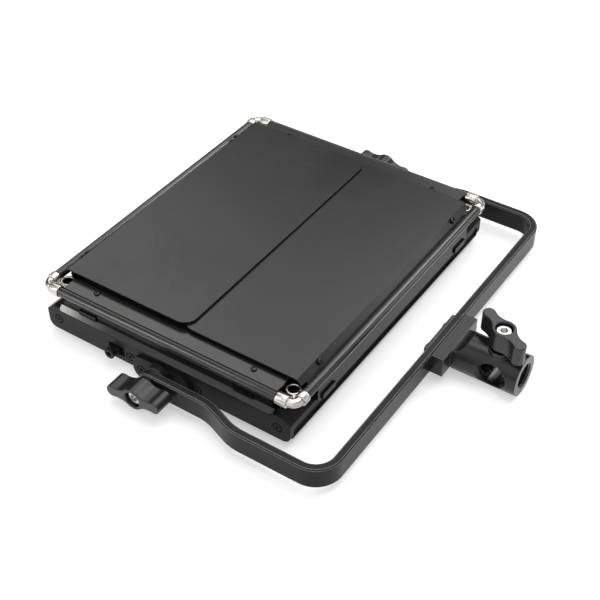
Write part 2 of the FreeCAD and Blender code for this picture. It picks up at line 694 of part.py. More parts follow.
def friction_washers():
    washers = []
    face = "body_half_y + pivot_plate_thick + pivot_boss_tall"
    for sign in (-1, 1):
        way = "+y" if sign > 0 else "-y"
        start = ("0", mirrored(sign, face), "pivot_z")
        disc = rod("washer_disc_%d" % len(washers), "washer_radius", "washer_thick", start, way)
        hole = rod("washer_hole_%d" % len(washers), "stud_radius + 0.3", "washer_thick", start, way)
        washers.append(cut("washer_%d" % len(washers), disc, [hole]))
    return subpart(group("washers", washers), "friction_washers")


def lock_block():
    """Small block in the near plate's recess."""
    block = box("lock_solid", ("lock_x - 3.8", "lock_x + 4.6"), ("-body_half_y - 1.2", "-body_half_y + 2.4"),
                ("lock_z - 2.2", "lock_z + 3.4"))
    hole = rod("lock_hole", "1.6", "8", ("lock_x", "-body_half_y + 4", "lock_z"), "-y")
    return subpart(cut("lock_cut", block, [hole]), "lock_block")


def lock_screw():
    """Cap screw that holds the block."""
    shank = rod("lock_shank", "1.6", "5.2", ("lock_x", "-body_half_y + 4", "lock_z"), "-y")
    head = rod("lock_head", "3.8", "4.2", ("lock_x", "-body_half_y - 1.2", "lock_z"), "-y")
    socket = rod("lock_socket", "1.9", "2", ("lock_x", "-body_half_y - 3.6", "lock_z"), "-y")
    return subpart(cut("lock_screw_cut", fuse("lock_screw_body", [shank, head]), [socket]), "lock_screw")


# ---- yoke -----------------------------------------------------------------------------

def yoke_bar():
    """Flat bar bent into a U, with a joggle in each arm."""
    outer = [("-yoke_end", "yoke_waist"), ("joggle_from", "yoke_waist"),
             ("joggle_to", "yoke_half"), ("yoke_reach", "yoke_half")]
    inner = [("-yoke_end", "yoke_waist - yoke_thick"), ("joggle_from + 1", "yoke_waist - yoke_thick"),
             ("joggle_to + 1", "yoke_half - yoke_thick"),
             ("yoke_reach - yoke_thick", "yoke_half - yoke_thick")]
    outline = [(x, mirrored(-1, y)) for x, y in outer] + outer[::-1] + inner
    outline += [(x, mirrored(-1, y)) for x, y in inner[::-1]]
    body = pad("yoke", "XY", outline, "yoke_high - yoke_low", at=("0", "0", "(yoke_high + yoke_low) / 2"))
    half_tall = (dim("yoke_high") - dim("yoke_low")) / 2
    reach = dim("yoke_reach")
    inner_reach = reach - dim("yoke_thick")

    def upright(a, b):
        return near(a.x, b.x) and near(a.y, b.y)

    round_edges(body, "yoke_corner_out", "yoke_corner", lambda a, b: upright(a, b) and near(a.x, reach))
    round_edges(body, "yoke_corner_in", "yoke_corner - yoke_thick",
                lambda a, b: upright(a, b) and near(a.x, inner_reach))
    round_edges(body, "yoke_joggles", "joggle_round",
                lambda a, b: upright(a, b) and dim("joggle_from") - 1 < a.x < dim("joggle_to") + 2)
    round_edges(body, "yoke_ends", "(yoke_high - yoke_low) / 2 - 0.1",
                lambda a, b: near(a.x, -dim("yoke_end")) and near(b.x, a.x) and near(a.z, b.z))

    def rim(edge):
        points = [vertex.Point for vertex in edge.Vertexes]
        return all(near(abs(point.z), half_tall) for point in points)

    bevel_edges(body, "yoke_bevel", "yoke_edge", rim)
    studs = [rod(side + "_stud_hole", "stud_radius + 0.3", "yoke_thick + 4",
                 ("0", mirrored(sign, "yoke_waist - yoke_thick - 2"), "pivot_z"), way)
             for side, sign, way in (("near", -1, "-y"), ("far", 1, "+y"))]
    bolts = [rod("yoke_bolt_hole_%d" % turn, "bolt_radius", "yoke_thick + 4",
                 ("yoke_reach - yoke_thick - 2", mirrored(turn, "bolt_y"), "pivot_z"), "+x")
             for turn in (-1, 1)]
    return subpart(cut("yoke_cut", body, studs + bolts), "yoke_bar")


def receiver_backing():
    """Plate on the inside of the yoke's base, under the bolt heads."""
    face = "yoke_reach - yoke_thick"
    plate = box("backing_sheet", (face + " - backing_thick", face), ("-backing_half", "backing_half"),
                ("yoke_low + 0.6", "yoke_high - 0.6"))
    bolts = [rod("backing_hole_%d" % turn, "bolt_radius", "backing_thick + 2",
                 (face + " - backing_thick - 1", mirrored(turn, "bolt_y"), "pivot_z"), "+x")
             for turn in (-1, 1)]
    return subpart(cut("backing", plate, bolts), "receiver_backing_plate")


def receiver_bolts():
    """Two button-head bolts from the inside of the yoke into the receiver's block."""
    face = "yoke_reach - yoke_thick - backing_thick"
    bolts = []
    for turn in (-1, 1):
        name = "receiver_bolt_%d" % len(bolts)
        y = mirrored(turn, "bolt_y")
        shank = rod(name + "_shank", "bolt_radius", "backing_thick + yoke_thick + 6", (face, y, "pivot_z"), "+x")
        head = cone(name + "_head", "4.6", "3", "2.6", (face, y, "pivot_z"), "-x")
        socket = rod(name + "_socket", "1.6", "2", (face + " - 1.2", y, "pivot_z"), "-x")
        bolts.append(cut(name, fuse(name + "_body", [shank, head]), [socket]))
    return subpart(group("bolts", bolts), "receiver_bolts")


def stand_receiver():
    """Foot block and round spigot, bored along and across for a stand pin."""
    block = box("receiver_block", ("yoke_reach", "yoke_reach + block_thick"), ("-block_half", "block_half"),
                ("block_low", "block_high"))
    block_face = "yoke_reach + block_thick"
    tube = rod("receiver_tube", "socket_radius", "socket_end - (%s) + 3" % block_face,
               (block_face + " - 3", "0", "socket_z"), "+x")
    pad_block = rod("receiver_pad", "pad_radius", "pad_top - socket_z", ("cross_x", "0", "socket_z"), "+z")
    scoop = rod("receiver_scoop", "8.4", "60", ("yoke_reach + block_thick", "-30", "block_high + 8"), "+y")
    clear = box("receiver_clear", ("yoke_reach - 1", block_face), ("-40", "40"), ("block_high", "block_high + 20"))
    under = box("receiver_under", ("yoke_reach - 1", block_face), ("-40", "40"), ("block_low - 20", "block_low"))
    bore = rod("receiver_bore", "bore_radius", "bore_deep + 1", ("socket_end - bore_deep", "0", "socket_z"), "+x")
    mouth = cone("receiver_mouth", "bore_radius", "mouth_radius", "mouth_deep",
                 ("socket_end - mouth_deep", "0", "socket_z"), "+x")
    cross = rod("receiver_cross", "cross_radius", "2 * socket_radius + 4",
                ("cross_x", "-socket_radius - 2", "socket_z"), "+y")
    mouths = [cone("receiver_cross_mouth_%d" % turn, "cross_radius", "cross_radius + 3.4", "4.4",
                   ("cross_x", mirrored(turn, "socket_radius - 3.4"), "socket_z"), way)
              for turn, way in ((-1, "-y"), (1, "+y"))]
    thread = rod("receiver_thread", "stud_radius + stud_gap", "30", ("cross_x", "0", "socket_z"), "+z")
    bolts = [rod("receiver_bolt_hole_%d" % turn, "bolt_radius", "7",
                 ("yoke_reach - 1", mirrored(turn, "bolt_y"), "pivot_z"), "+x") for turn in (-1, 1)]
    spigot = cut("receiver_spigot", fuse("receiver_round", [tube, pad_block]), [scoop, clear, under])
    whole = fuse("receiver_whole", [block, spigot])
    return subpart(cut("receiver", whole, [bore, mouth, cross, thread] + mouths + bolts), "stand_receiver")


# ---- wing knobs -----------------------------------------------------------------------

def wing_outline():
    """Closed wire of a hub with two wings: round ends and hollow waists, all tangent."""
    hub = dim("hub_radius")
    reach = dim("lobe_reach")
    lobe = dim("lobe_radius")
    waist = dim("waist_round")
    middle_x = (reach ** 2 + (hub + waist) ** 2 - (lobe + waist) ** 2) / (2 * reach)
    middle_y = math.sqrt((hub + waist) ** 2 - middle_x ** 2)
    middle = Vector(middle_x, middle_y, 0)
    tip = Vector(reach, 0, 0)
    on_hub = middle * (hub / (hub + waist))
    on_lobe = tip + (middle - tip) * (lobe / (lobe + waist))
    toward_hub = (on_hub - middle).normalize()
    toward_lobe = (on_lobe - middle).normalize()
    hollow = middle + (toward_hub + toward_lobe).normalize() * waist

    def flipped(point, x, y):
        return Vector(point.x * x, point.y * y, 0)

    edges = []
    for x in (1, -1):
        for y in (1, -1):
            edges.append(Part.Arc(flipped(on_hub, x, y), flipped(hollow, x, y),
                                  flipped(on_lobe, x, y)).toShape())
        edges.append(Part.Arc(flipped(on_lobe, x, 1), Vector(x * (reach + lobe), 0, 0),
                              flipped(on_lobe, x, -1)).toShape())
    for y in (1, -1):
        edges.append(Part.Arc(flipped(on_hub, 1, y), Vector(0, y * hub, 0), flipped(on_hub, -1, y)).toShape())
    return Part.Wire(Part.__sortEdges__(edges))


def knob_shape():
    """Wing knob standing on its foot, with a well for the cap screw's head."""
    tall = dim("knob_tall")
    lift = dim("wing_lift")
    wings = Part.Face(wing_outline()).extrude(Vector(0, 0, tall - lift))
    wings.translate(Vector(0, 0, lift))
    rims = [edge for edge in wings.Edges
            if all(near(vertex.Point.z, tall) or near(vertex.Point.z, lift) for vertex in edge.Vertexes)]
    wings = wings.makeFillet(0.9, rims)
    foot = Part.makeCone(dim("hub_neck"), dim("hub_radius") - 0.4, lift + 2)
    well = Part.makeCylinder(dim("well_radius"), dim("well_deep") + 1, Vector(0, 0, tall - dim("well_deep")))
    hole = Part.makeCylinder(dim("stud_radius"), tall, Vector(0, 0, -1))
    return wings.fuse(foot).cut(well).cut(hole)


def cap_screw_shape(length):
    """Cap screw whose head sits in the knob's well; the shank is this long under the head."""
    seat = dim("knob_tall") - dim("well_deep")
    head = Part.makeCylinder(dim("cap_radius"), dim("cap_tall"), Vector(0, 0, seat))
    rim = [edge for edge in head.Edges if near(edge.BoundBox.ZMin, seat + dim("cap_tall"))
           and near(edge.BoundBox.ZMax, seat + dim("cap_tall"))]
    head = head.makeFillet(0.6, rim)
    corner = dim("hex_flat") / math.sqrt(3)
    floor = seat + dim("cap_tall") - dim("hex_deep")
    ring = [Vector(corner * math.cos(math.radians(60 * i)), corner * math.sin(math.radians(60 * i)), floor)
            for i in range(7)]
    socket = Part.Face(Part.makePolygon(ring)).extrude(Vector(0, 0, dim("hex_deep") + 1))
    shank = Part.makeCylinder(dim("stud_radius"), length, Vector(0, 0, seat - length))
    return head.cut(socket).fuse(shank)


def wing_knob(prefix, place, shank_long):
    """A wing knob and the cap screw fixed in it, at one place."""
    for label, shape in ((prefix + "_knob", knob_shape()), (prefix + "_knob_screw", cap_screw_shape(shank_long))):
        thing = doc.addObject("Part::Feature", label)
        thing.Shape = shape
        thing.Placement = place
        subpart(thing, label)


def wing_knobs():
    seat = dim("knob_tall") - dim("well_deep")
    arm_face = dim("yoke_waist") + dim("knob_gap")
    arm_shank = seat + arm_face - dim("body_half_y") + dim("plate_thick") - 0.5
    twist = Rotation(Vector(0, 0, 1), 6)
    for prefix, sign, way in (("near_tilt", -1, "-y"), ("far_tilt", 1, "+y")):
        centre = Vector(0, sign * arm_face, dim("pivot_z"))
        wing_knob(prefix, Placement(centre, TURNS[way].multiply(twist)), arm_shank)
    pad_face = dim("pad_top") + dim("knob_gap")
    tip = dim("socket_z") + dim("bore_radius") + 0.3
    centre = Vector(dim("cross_x"), 0, pad_face)
    wing_knob("receiver", Placement(centre, Rotation(Vector(0, 0, 1), -30)), seat + pad_face - tip)


# ---- barn door ------------------------------------------------------------------------

def end_door_rail(side, sign):
    """Folded strip along one end: a sloped foot on the end plate, a wall and a rolled hem."""
    section = [("sill_wall - 5", "body_top"), ("sill_out", "body_top"), ("sill_out", "body_top + sill_edge"),
               ("sill_wall", "body_top + sill_rise"), ("sill_wall - 5", "body_top + sheet_thick")]
    foot = pad(side + "_sill_foot", "YZ", [(mirrored(sign, across), up) for across, up in section],
               "2 * sill_half")
    lip = dim("sill_out")
    round_edges(foot, side + "_sill_round", "3",
                lambda a, b: near(abs(a.y), lip) and near(a.y, b.y) and near(a.x, b.x))
    inner, outer = "sill_wall - sheet_thick", "sill_wall"
    wall_y = (inner, outer) if sign > 0 else ("-sill_wall", "sheet_thick - sill_wall")
    hem_y = ("sill_wall - hem_thick", outer) if sign > 0 else ("-sill_wall", "hem_thick - sill_wall")
    wall = box(side + "_sill_wall", ("-sill_wall_half", "sill_wall_half"), wall_y,
               ("body_top", "sill_top - hem_tall / 2"))
    hem = box(side + "_sill_hem", ("-hem_half", "hem_half"), hem_y, ("sill_top - hem_tall", "sill_top"))
    soft = doc.addObject("Part::Fillet", side + "_sill_soft")
    soft.Base = hem
    doc.recompute()
    soft.Edges = [(index, 0.7, 0.7) for index, edge in enumerate(hem.Shape.Edges, start=1)
                  if near(edge.BoundBox.XLength, 2 * dim("hem_half"), 0.1)]
    return subpart(fuse(side + "_sill", [foot, wall, soft]), side + "_door_rail")


def side_door_rail(side, sign):
    """Folded strip along one side: a foot on the rail and a skirt down over the bevel."""
    def span(low, high):
        return (low, high) if sign > 0 else ("-(%s)" % high, "-(%s)" % low)
    foot = box(side + "_ledge", span("rail_inner + 1", "skirt_out"), ("-skirt_half", "skirt_half"),
               ("body_top", "body_top + sheet_thick"))
    skirt = pad(side + "_skirt", "YZ",
                [("-skirt_half", "skirt_low"), ("skirt_half", "skirt_low"),
                 ("skirt_half", "skirt_top"), ("-skirt_half", "skirt_top")],
                "sheet_thick", at=(mirrored(sign, "skirt_out - sheet_thick / 2"), "0", "0"))
    half = dim("skirt_half")
    round_edges(skirt, side + "_skirt_round", "3",
                lambda a, b: near(abs(a.y), half) and near(a.y, b.y) and near(a.z, b.z))
    return subpart(fuse(side + "_door_rail_fuse", [foot, skirt]), side + "_door_rail")


def door_clips():
    """Eight spring clips that hold the door rails on the housing."""
    clips = []
    for sign in (-1, 1):
        for turn in (-1, 1):
            x = ("clip_from", "clip_to") if turn > 0 else ("-clip_to", "-clip_from")
            y = ("sill_wall", "sill_wall + clip_proud") if sign > 0 else ("-sill_wall - clip_proud", "-sill_wall")
            clips.append(box("clip_%d" % len(clips), x, y, ("body_top + sill_rise", "body_top + clip_top")))
            y = ("side_clip_from", "side_clip_to") if turn > 0 else ("-side_clip_to", "-side_clip_from")
            x = ("skirt_out", "skirt_out + clip_proud") if sign > 0 else ("-skirt_out - clip_proud", "-skirt_out")
            clips.append(box("clip_%d" % len(clips), x, y, ("skirt_low + 0.4", "skirt_low + 4.6")))
    return subpart(group("clips", clips), "door_clips")


def corner_elbow(name, x, y, turn):
    """Elbow between two hinge rods, with a collar at each end and a cup inside the bend."""
    bend = doc.addObject("Part::Torus", name + "_bend")
    bend.Placement = Placement(Vector(), Rotation(Vector(0, 0, 1), turn))
    bend.Angle3 = 90
    bind(bend, Radius1="bend_radius", Radius2="elbow_radius")
    move(bend, mirrored(x, "door_x - bend_radius"), mirrored(y, "door_y - bend_radius"), "door_z")
    along_x = rod(name + "_collar_x", "collar_radius", "collar_x_long",
                  (mirrored(x, "door_x - bend_radius - collar_x_long"), mirrored(y, "door_y"), "door_z"),
                  "+x" if x > 0 else "-x")
    along_y = rod(name + "_collar_y", "collar_radius", "collar_y_long",
                  (mirrored(x, "door_x"), mirrored(y, "door_y - bend_radius - collar_y_long"), "door_z"),
                  "+y" if y > 0 else "-y")
    cup_place = (mirrored(x, "cup_x"), mirrored(y, "cup_y"))
    cup = rod(name + "_cup", "cup_radius", "cup_top - cup_base", cup_place + ("cup_base",), "+z")
    bore = rod(name + "_cup_bore", "cup_bore", "cup_top - cup_base", cup_place + ("cup_base + 1.2",), "+z")
    web = box(name + "_web", ("0", "8"), ("-1.5", "1.5"), ("0", "2.6"))
    web.Placement = Placement(Vector(), Rotation(Vector(0, 0, 1), turn + 45))
    move(web, mirrored(x, "cup_x + 2.6"), mirrored(y, "cup_y + 2.6"), "door_z - 3.4")
    solid = fuse(name + "_solid", [bend, along_x, along_y, cup, web])
    return subpart(cut(name + "_cut", solid, [bore]), name)


def corner_elbows():
    corner_elbow("near_left_elbow", -1, -1, 180)
    corner_elbow("near_right_elbow", 1, -1, 270)
    corner_elbow("far_right_elbow", 1, 1, 0)
    corner_elbow("far_left_elbow", -1, 1, 90)


def corner_standoffs():
    """Four posts that carry the elbows above the housing."""
    posts = []
    for x in (-1, 1):
        for y in (-1, 1):
            start = (mirrored(x, "cup_x - 0.6"), mirrored(y, "cup_y"), "body_top")
            posts.append(rod("standoff_%d" % len(posts), "3.2", "cup_base - body_top", start, "+z"))
    return subpart(group("standoffs", posts), "corner_standoffs")


def hinge_rods():
    side_long = "door_y - bend_radius - collar_y_long"
    sides = [rod("side_rod_%d" % turn, "rod_radius", "2 * (%s)" % side_long,
                 (mirrored(turn, "door_x"), "-(%s)" % side_long, "door_z"), "+y") for turn in (-1, 1)]
    subpart(group("side_rods", sides), "side_hinge_rods")
    end_long = "door_x - bend_radius - collar_x_long"
    ends = [rod("end_rod_%d" % turn, "rod_radius", "2 * (%s)" % end_long,
                ("-(%s)" % end_long, mirrored(turn, "door_y"), "door_z"), "+x") for turn in (-1, 1)]
    subpart(group("end_rods", ends), "end_hinge_rods")


def side_leaf(side, sign, top, free):
    """One of the two large leaves: folded panel, hinge with its tab, and two screws.

    The panel's fold runs down at 45 degrees and ends beside the hinge barrel.
    """
    drop = "(%s - door_z - 2.3)" % top
    foot_x = "fold_x + " + drop
    foot_z = top + " - " + drop
    slant = "sheet_thick * 0.7071"
    panel = pad(side + "_panel", "XZ", [
        (free, top), (mirrored(sign, "fold_x"), top), (mirrored(sign, foot_x), foot_z),
        (mirrored(sign, "%s - %s" % (foot_x, slant)), "%s - %s" % (foot_z, slant)),
        (mirrored(sign, "fold_x - 0.4142 * sheet_thick"), top + " - sheet_thick"),
        (free, top + " - sheet_thick")], "2 * leaf_half_y")
    free_x = dim("left_free") if side == "left" else dim("right_free")
    round_edges(panel, side + "_panel_round", "leaf_round",
                lambda a, b: near(a.x, free_x) and near(b.x, free_x) and near(a.y, b.y))
    middle_x = "(fold_x + %s / 2)" % drop
    middle_z = "(%s - %s / 2)" % (top, drop)
    lean = 45 * sign
    screws = []
    holes = []
    for turn in (-1, 1):
        for kind, radius, low, high in (("head", "leaf_screw_head", 0.0, 1.3),
                                        ("shank", "leaf_screw", -3.4, 0.0), ("hole", "leaf_screw", -6.0, 2.0)):
            piece = doc.addObject("Part::Cylinder", "%s_leaf_%s_%d" % (side, kind, turn))
            piece.Placement = Placement(Vector(), Rotation(Vector(0, 1, 0), lean))
            bind(piece, Radius=radius)
            piece.Height = high - low
            shift = 0.7071 * low
            move(piece, mirrored(sign, "%s + (%.4f)" % (middle_x, shift)), mirrored(turn, "fold_screw_y"),
                 "%s + (%.4f)" % (middle_z, shift))
            (holes if kind == "hole" else screws).append(piece)
    subpart(cut(side + "_panel_cut", panel, holes), side + "_leaf_panel")
    subpart(group(side + "_screws", [fuse(side + "_screw_%d" % i, screws[2 * i:2 * i + 2]) for i in (0, 1)]),
            side + "_leaf_screws")
    line = "(%s + %s - 1.4142 * sheet_thick)" % (foot_x, foot_z)
    tab = pad(side + "_tab", "XZ", [
        (mirrored(sign, "fold_x + 0.4"), line + " - fold_x - 0.4"),
        (mirrored(sign, line + " - door_z + 1.6"), "door_z - 1.6"),
        (mirrored(sign, line + " - door_z + 1.6 - " + slant), "door_z - 1.6 - " + slant),
        (mirrored(sign, "fold_x + 0.4 - " + slant), line + " - fold_x - 0.4 - " + slant)],
        "2 * (leaf_half_y - 6)")
    barrel_half = "(door_y - bend_radius - collar_y_long - barrel_gap)"
    start = (mirrored(sign, "door_x"), "-" + barrel_half, "door_z")
    barrel = rod(side + "_barrel", "barrel_radius", "2 * " + barrel_half, start, "+y")
    bore = rod(side + "_barrel_bore", "rod_radius + rod_gap", "2 * " + barrel_half, start, "+y")
    hinge = fuse(side + "_hinge", [tab, barrel])
    tab_holes = group(side + "_tab_holes", holes)
    subpart(cut(side + "_hinge_cut", hinge, [bore, tab_holes]), side + "_leaf_hinge")


def end_leaf(side, sign):
    """One of the two short leaves: hinge barrel with a flat strip, panel under it, screws."""
    strip_low = "strip_top - sheet_thick"

    def span(low, high):
        return (low, high) if sign > 0 else ("-(%s)" % high, "-(%s)" % low)

    strip = box(side + "_strip", ("-strip_half", "strip_half"), span("strip_inner", "door_y - 2"),
                (strip_low, "strip_top"))
    barrel_half = "(door_x - bend_radius - collar_x_long - barrel_gap)"
    start = ("-" + barrel_half, mirrored(sign, "door_y"), "door_z")
    barrel = rod(side + "_barrel", "barrel_radius", "2 * " + barrel_half, start, "+x")
    bore = rod(side + "_barrel_bore", "rod_radius + rod_gap", "2 * " + barrel_half, start, "+x")
    panel_edge = "strip_inner - end_leaf_slant"
    outline = [("-(%s)" % panel_edge, "door_y - 4.2"), (panel_edge, "door_y - 4.2"),
               (panel_edge, "strip_inner"), ("end_leaf_free - end_leaf_slant", "end_leaf_free"),
               ("end_leaf_slant - end_leaf_free", "end_leaf_free"), ("-(%s)" % panel_edge, "strip_inner")]
    panel = pad(side + "_panel", "XY", [(x, mirrored(sign, y)) for x, y in outline], "sheet_thick",
                at=("0", "0", strip_low + " - sheet_thick / 2"))
    screws = []
    holes = []
    for turn in (-1, 1):
        x = mirrored(turn, "strip_screw_x")
        y = mirrored(sign, "strip_screw_y")
        name = "%s_leaf_screw_%d" % (side, turn)
        shank = rod(name + "_shank", "leaf_screw", "2 * sheet_thick", (x, y, strip_low + " - sheet_thick"), "+z")
        head = rod(name + "_head", "leaf_screw_head", "leaf_screw_tall", (x, y, "strip_top"), "+z")
        nut = rod(name + "_nut", "2.4", "1.2", (x, y, strip_low + " - sheet_thick - 1.2"), "+z")
        screws.append(fuse(name, [shank, head, nut]))
        holes.append(rod(name + "_hole", "leaf_screw", "6", (x, y, strip_low + " - 3"), "+z"))
    subpart(cut(side + "_hinge_cut", fuse(side + "_hinge", [strip, barrel]), [bore] + holes),
            side + "_leaf_hinge")
    subpart(cut(side + "_panel_cut", panel, holes), side + "_leaf_panel")
    subpart(group(side + "_screws", screws), side + "_leaf_screws")


# ---- the whole light ------------------------------------------------------------------

def build():
    side_rail("left", -1)
    side_rail("right", 1)
    near_end_plate()
    far_end_plate()
    end_plate_screws()
    back_cover()
    back_module()
    back_cover_screws()
    rubber_feet()
    front_bezel()
    diffuser()
    heat_spreader()
    led_board()
    led_chips()
    driver_board()
    power_switch()
    power_button()
    dimmer_control()
    dimmer_knob()
    power_inlet()
    pivot_plate("near", -1)
    pivot_plate("far", 1)
    pivot_plate_screws()
    friction_washers()
    lock_block()
    lock_screw()
    yoke_bar()
    receiver_backing()
    receiver_bolts()
    stand_receiver()
    wing_knobs()
    end_door_rail("near", -1)
    end_door_rail("far", 1)
    side_door_rail("left", -1)
    side_door_rail("right", 1)
    door_clips()
    corner_elbows()
    corner_standoffs()
    hinge_rods()
    side_leaf("left", -1, "left_top", "left_free")
    side_leaf("right", 1, "right_top", "right_free")
    end_leaf("near", -1)
    end_leaf("far", 1)


def check_document():
    """Stop if anything in the document failed or is not a sound shape."""
    for thing in doc.Objects:
        if "Invalid" in thing.State or "Error" in thing.State:
            raise RuntimeError("%s failed: %s" % (thing.Label, thing.State))
    for thing in subparts:
        if thing.Shape.isNull() or not thing.Shape.isValid():
            raise RuntimeError("%s has no sound shape" % thing.Label)


def export_subparts():
    os.makedirs("parts", exist_ok=True)
    for thing in subparts:
        thing.Shape.exportStep("parts/%s.step" % thing.Label)
        solids = len(thing.Shape.Solids)
        print("%-24s %2d solid(s) %10.1f mm3" % (thing.Label, solids, thing.Shape.Volume))


build()
doc.recompute()
check_document()
export_subparts()
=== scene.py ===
import json
import math

import bmesh
import bpy
from bpy.props import FloatProperty, FloatVectorProperty, IntProperty, PointerProperty
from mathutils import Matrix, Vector


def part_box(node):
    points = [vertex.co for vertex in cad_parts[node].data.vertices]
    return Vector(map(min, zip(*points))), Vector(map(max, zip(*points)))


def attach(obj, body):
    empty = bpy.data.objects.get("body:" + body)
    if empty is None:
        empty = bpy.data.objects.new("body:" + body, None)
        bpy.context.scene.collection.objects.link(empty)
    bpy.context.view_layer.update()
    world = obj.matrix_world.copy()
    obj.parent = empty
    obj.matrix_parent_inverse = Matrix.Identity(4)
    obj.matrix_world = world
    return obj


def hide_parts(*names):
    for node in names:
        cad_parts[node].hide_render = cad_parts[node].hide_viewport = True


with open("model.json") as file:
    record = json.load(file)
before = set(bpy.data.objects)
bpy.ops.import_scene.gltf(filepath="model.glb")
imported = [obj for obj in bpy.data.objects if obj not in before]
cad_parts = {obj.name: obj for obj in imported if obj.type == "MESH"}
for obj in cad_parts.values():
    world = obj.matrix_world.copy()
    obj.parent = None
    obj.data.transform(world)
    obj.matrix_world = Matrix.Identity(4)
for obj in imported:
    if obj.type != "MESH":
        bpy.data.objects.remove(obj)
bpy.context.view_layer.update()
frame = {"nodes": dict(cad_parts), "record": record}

bl_info = {
    "name": "LED panel light",
    "version": (1, 0, 0),
    "blender": (4, 5, 0),
    "location": "View3D > Sidebar > Panel Light",
    "description": "Finishes, screws and studio for a panel light with a barn door",
    "category": "Object",
}

MM = 0.001
X_AXIS = Vector((1, 0, 0))
Y_AXIS = Vector((0, 1, 0))
Z_AXIS = Vector((0, 0, 1))


# ---- node trees -----------------------------------------------------------------------

class Value:
    """A socket that can be used in arithmetic; each operator adds one Math node."""

    def __init__(self, nodes, socket):
        self.nodes = nodes
        self.socket = socket

    def math(self, operation, first, second):
        return self.nodes.add("ShaderNodeMath", {"operation": operation}, {0: first, 1: second})

    def __add__(self, other):
        return self.math("ADD", self, other)

    def __sub__(self, other):
        return self.math("SUBTRACT", self, other)

    def __rsub__(self, other):
        return self.math("SUBTRACT", other, self)

    def __mul__(self, other):
        return self.math("MULTIPLY", self, other)

    def clipped(self):
        return self.nodes.add("ShaderNodeClamp", {}, {"Value": self})

    __radd__ = __add__
    __rmul__ = __mul__


def live(sockets, name):
    """A socket by its number, or the first one in use by its name; any name if None."""
    if isinstance(name, int):
        return sockets[name]
    return [socket for socket in sockets if socket.enabled and name in (None, socket.name)][0]


class Nodes:
    """Builds one node tree, for a finish or for geometry."""

    def __init__(self, tree):
        self.tree = tree

    def add(self, kind, settings=None, values=None, output=None):
        """Add a node: its settings first, then a value or a link for each socket named."""
        node = self.tree.nodes.new(kind)
        for name, setting in (settings or {}).items():
            if name == "stops":
                self.set_stops(node.color_ramp, setting)
            else:
                setattr(node, name, setting)
        for name, value in (values or {}).items():
            socket = live(node.inputs, name)
            if isinstance(value, Value):
                self.tree.links.new(value.socket, socket)
            else:
                socket.default_value = value
        return Value(self, live(node.outputs, output))

    def set_stops(self, ramp, stops):
        """Give a ramp its (position, grey) stops."""
        while len(ramp.elements) < len(stops):
            ramp.elements.new(0.5)
        for element, (place, grey) in zip(ramp.elements, stops):
            element.position = place
            element.color = (grey, grey, grey, 1.0)

    def noise(self, scale, detail=2.0, rough=0.5, stretch=(1.0, 1.0, 1.0), shift=0.0):
        """Noise over the piece, in cycles per metre; stretch squeezes it along each axis."""
        place = self.add("ShaderNodeTexCoord", output="Object")
        place = self.add("ShaderNodeMapping", {},
                         {"Vector": place, "Location": (shift, shift, shift), "Scale": stretch})
        return self.add("ShaderNodeTexNoise", {},
                        {"Vector": place, "Scale": scale, "Detail": detail, "Roughness": rough})

    def blend(self, mask, first, second):
        """Mix two colours by a mask."""
        return self.add("ShaderNodeMix", {"data_type": "RGBA"}, {"Factor": mask, "A": first, "B": second})

    def dot(self, first, second):
        """Dot product of two vectors."""
        return self.add("ShaderNodeVectorMath", {"operation": "DOT_PRODUCT"}, {0: first, 1: second},
                        output="Value")

    def towards(self, way, azimuth, height):
        """Cosine of the angle between a direction and one given in degrees, X axis first."""
        turn, lift = math.radians(azimuth), math.radians(height)
        aim = (math.cos(lift) * math.cos(turn), math.cos(lift) * math.sin(turn), math.sin(lift))
        return self.dot(way, aim)

    def steps(self, value, stops):
        """A ramp from a value through (position, grey) stops."""
        return self.add("ShaderNodeValToRGB", {"stops": stops}, {"Fac": value})


def rgba(colour, gain=1.0):
    return tuple(min(1.0, part * gain) for part in colour) + (1.0,)


# ---- finishes -------------------------------------------------------------------------

class Finish:
    """A material under construction, on one principled surface."""

    def __init__(self, name):
        self.material = bpy.data.materials.new(name)
        self.material.use_nodes = True
        self.nodes = Nodes(self.material.node_tree)
        self.surface = self.material.node_tree.nodes["Principled BSDF"]
        self.edge_normal = None

    def set(self, **sockets):
        """Set or link the surface's sockets, named with _ for a space."""
        for name, value in sockets.items():
            socket = self.surface.inputs[name.replace("_", " ")]
            if isinstance(value, Value):
                self.material.node_tree.links.new(value.socket, socket)
            else:
                socket.default_value = value

    def round_edges(self, radius):
        """Round the edges in the shading."""
        self.edge_normal = self.nodes.add("ShaderNodeBevel", {"samples": 6}, {"Radius": radius})

    def wear_and_highlight_edges(self, gain):
        """Mask of the rounded edges, for edge wear and painted highlights."""
        plain = self.nodes.add("ShaderNodeNewGeometry", output="Normal")
        return ((1.0 - self.nodes.dot(self.edge_normal, plain)) * gain).clipped()

    def relief(self, height, strength, distance):
        """Small bumps over the rounded edges."""
        values = {"Height": height, "Strength": strength, "Distance": distance}
        if self.edge_normal:
            values["Normal"] = self.edge_normal
        self.set(Normal=self.nodes.add("ShaderNodeBump", {}, values))


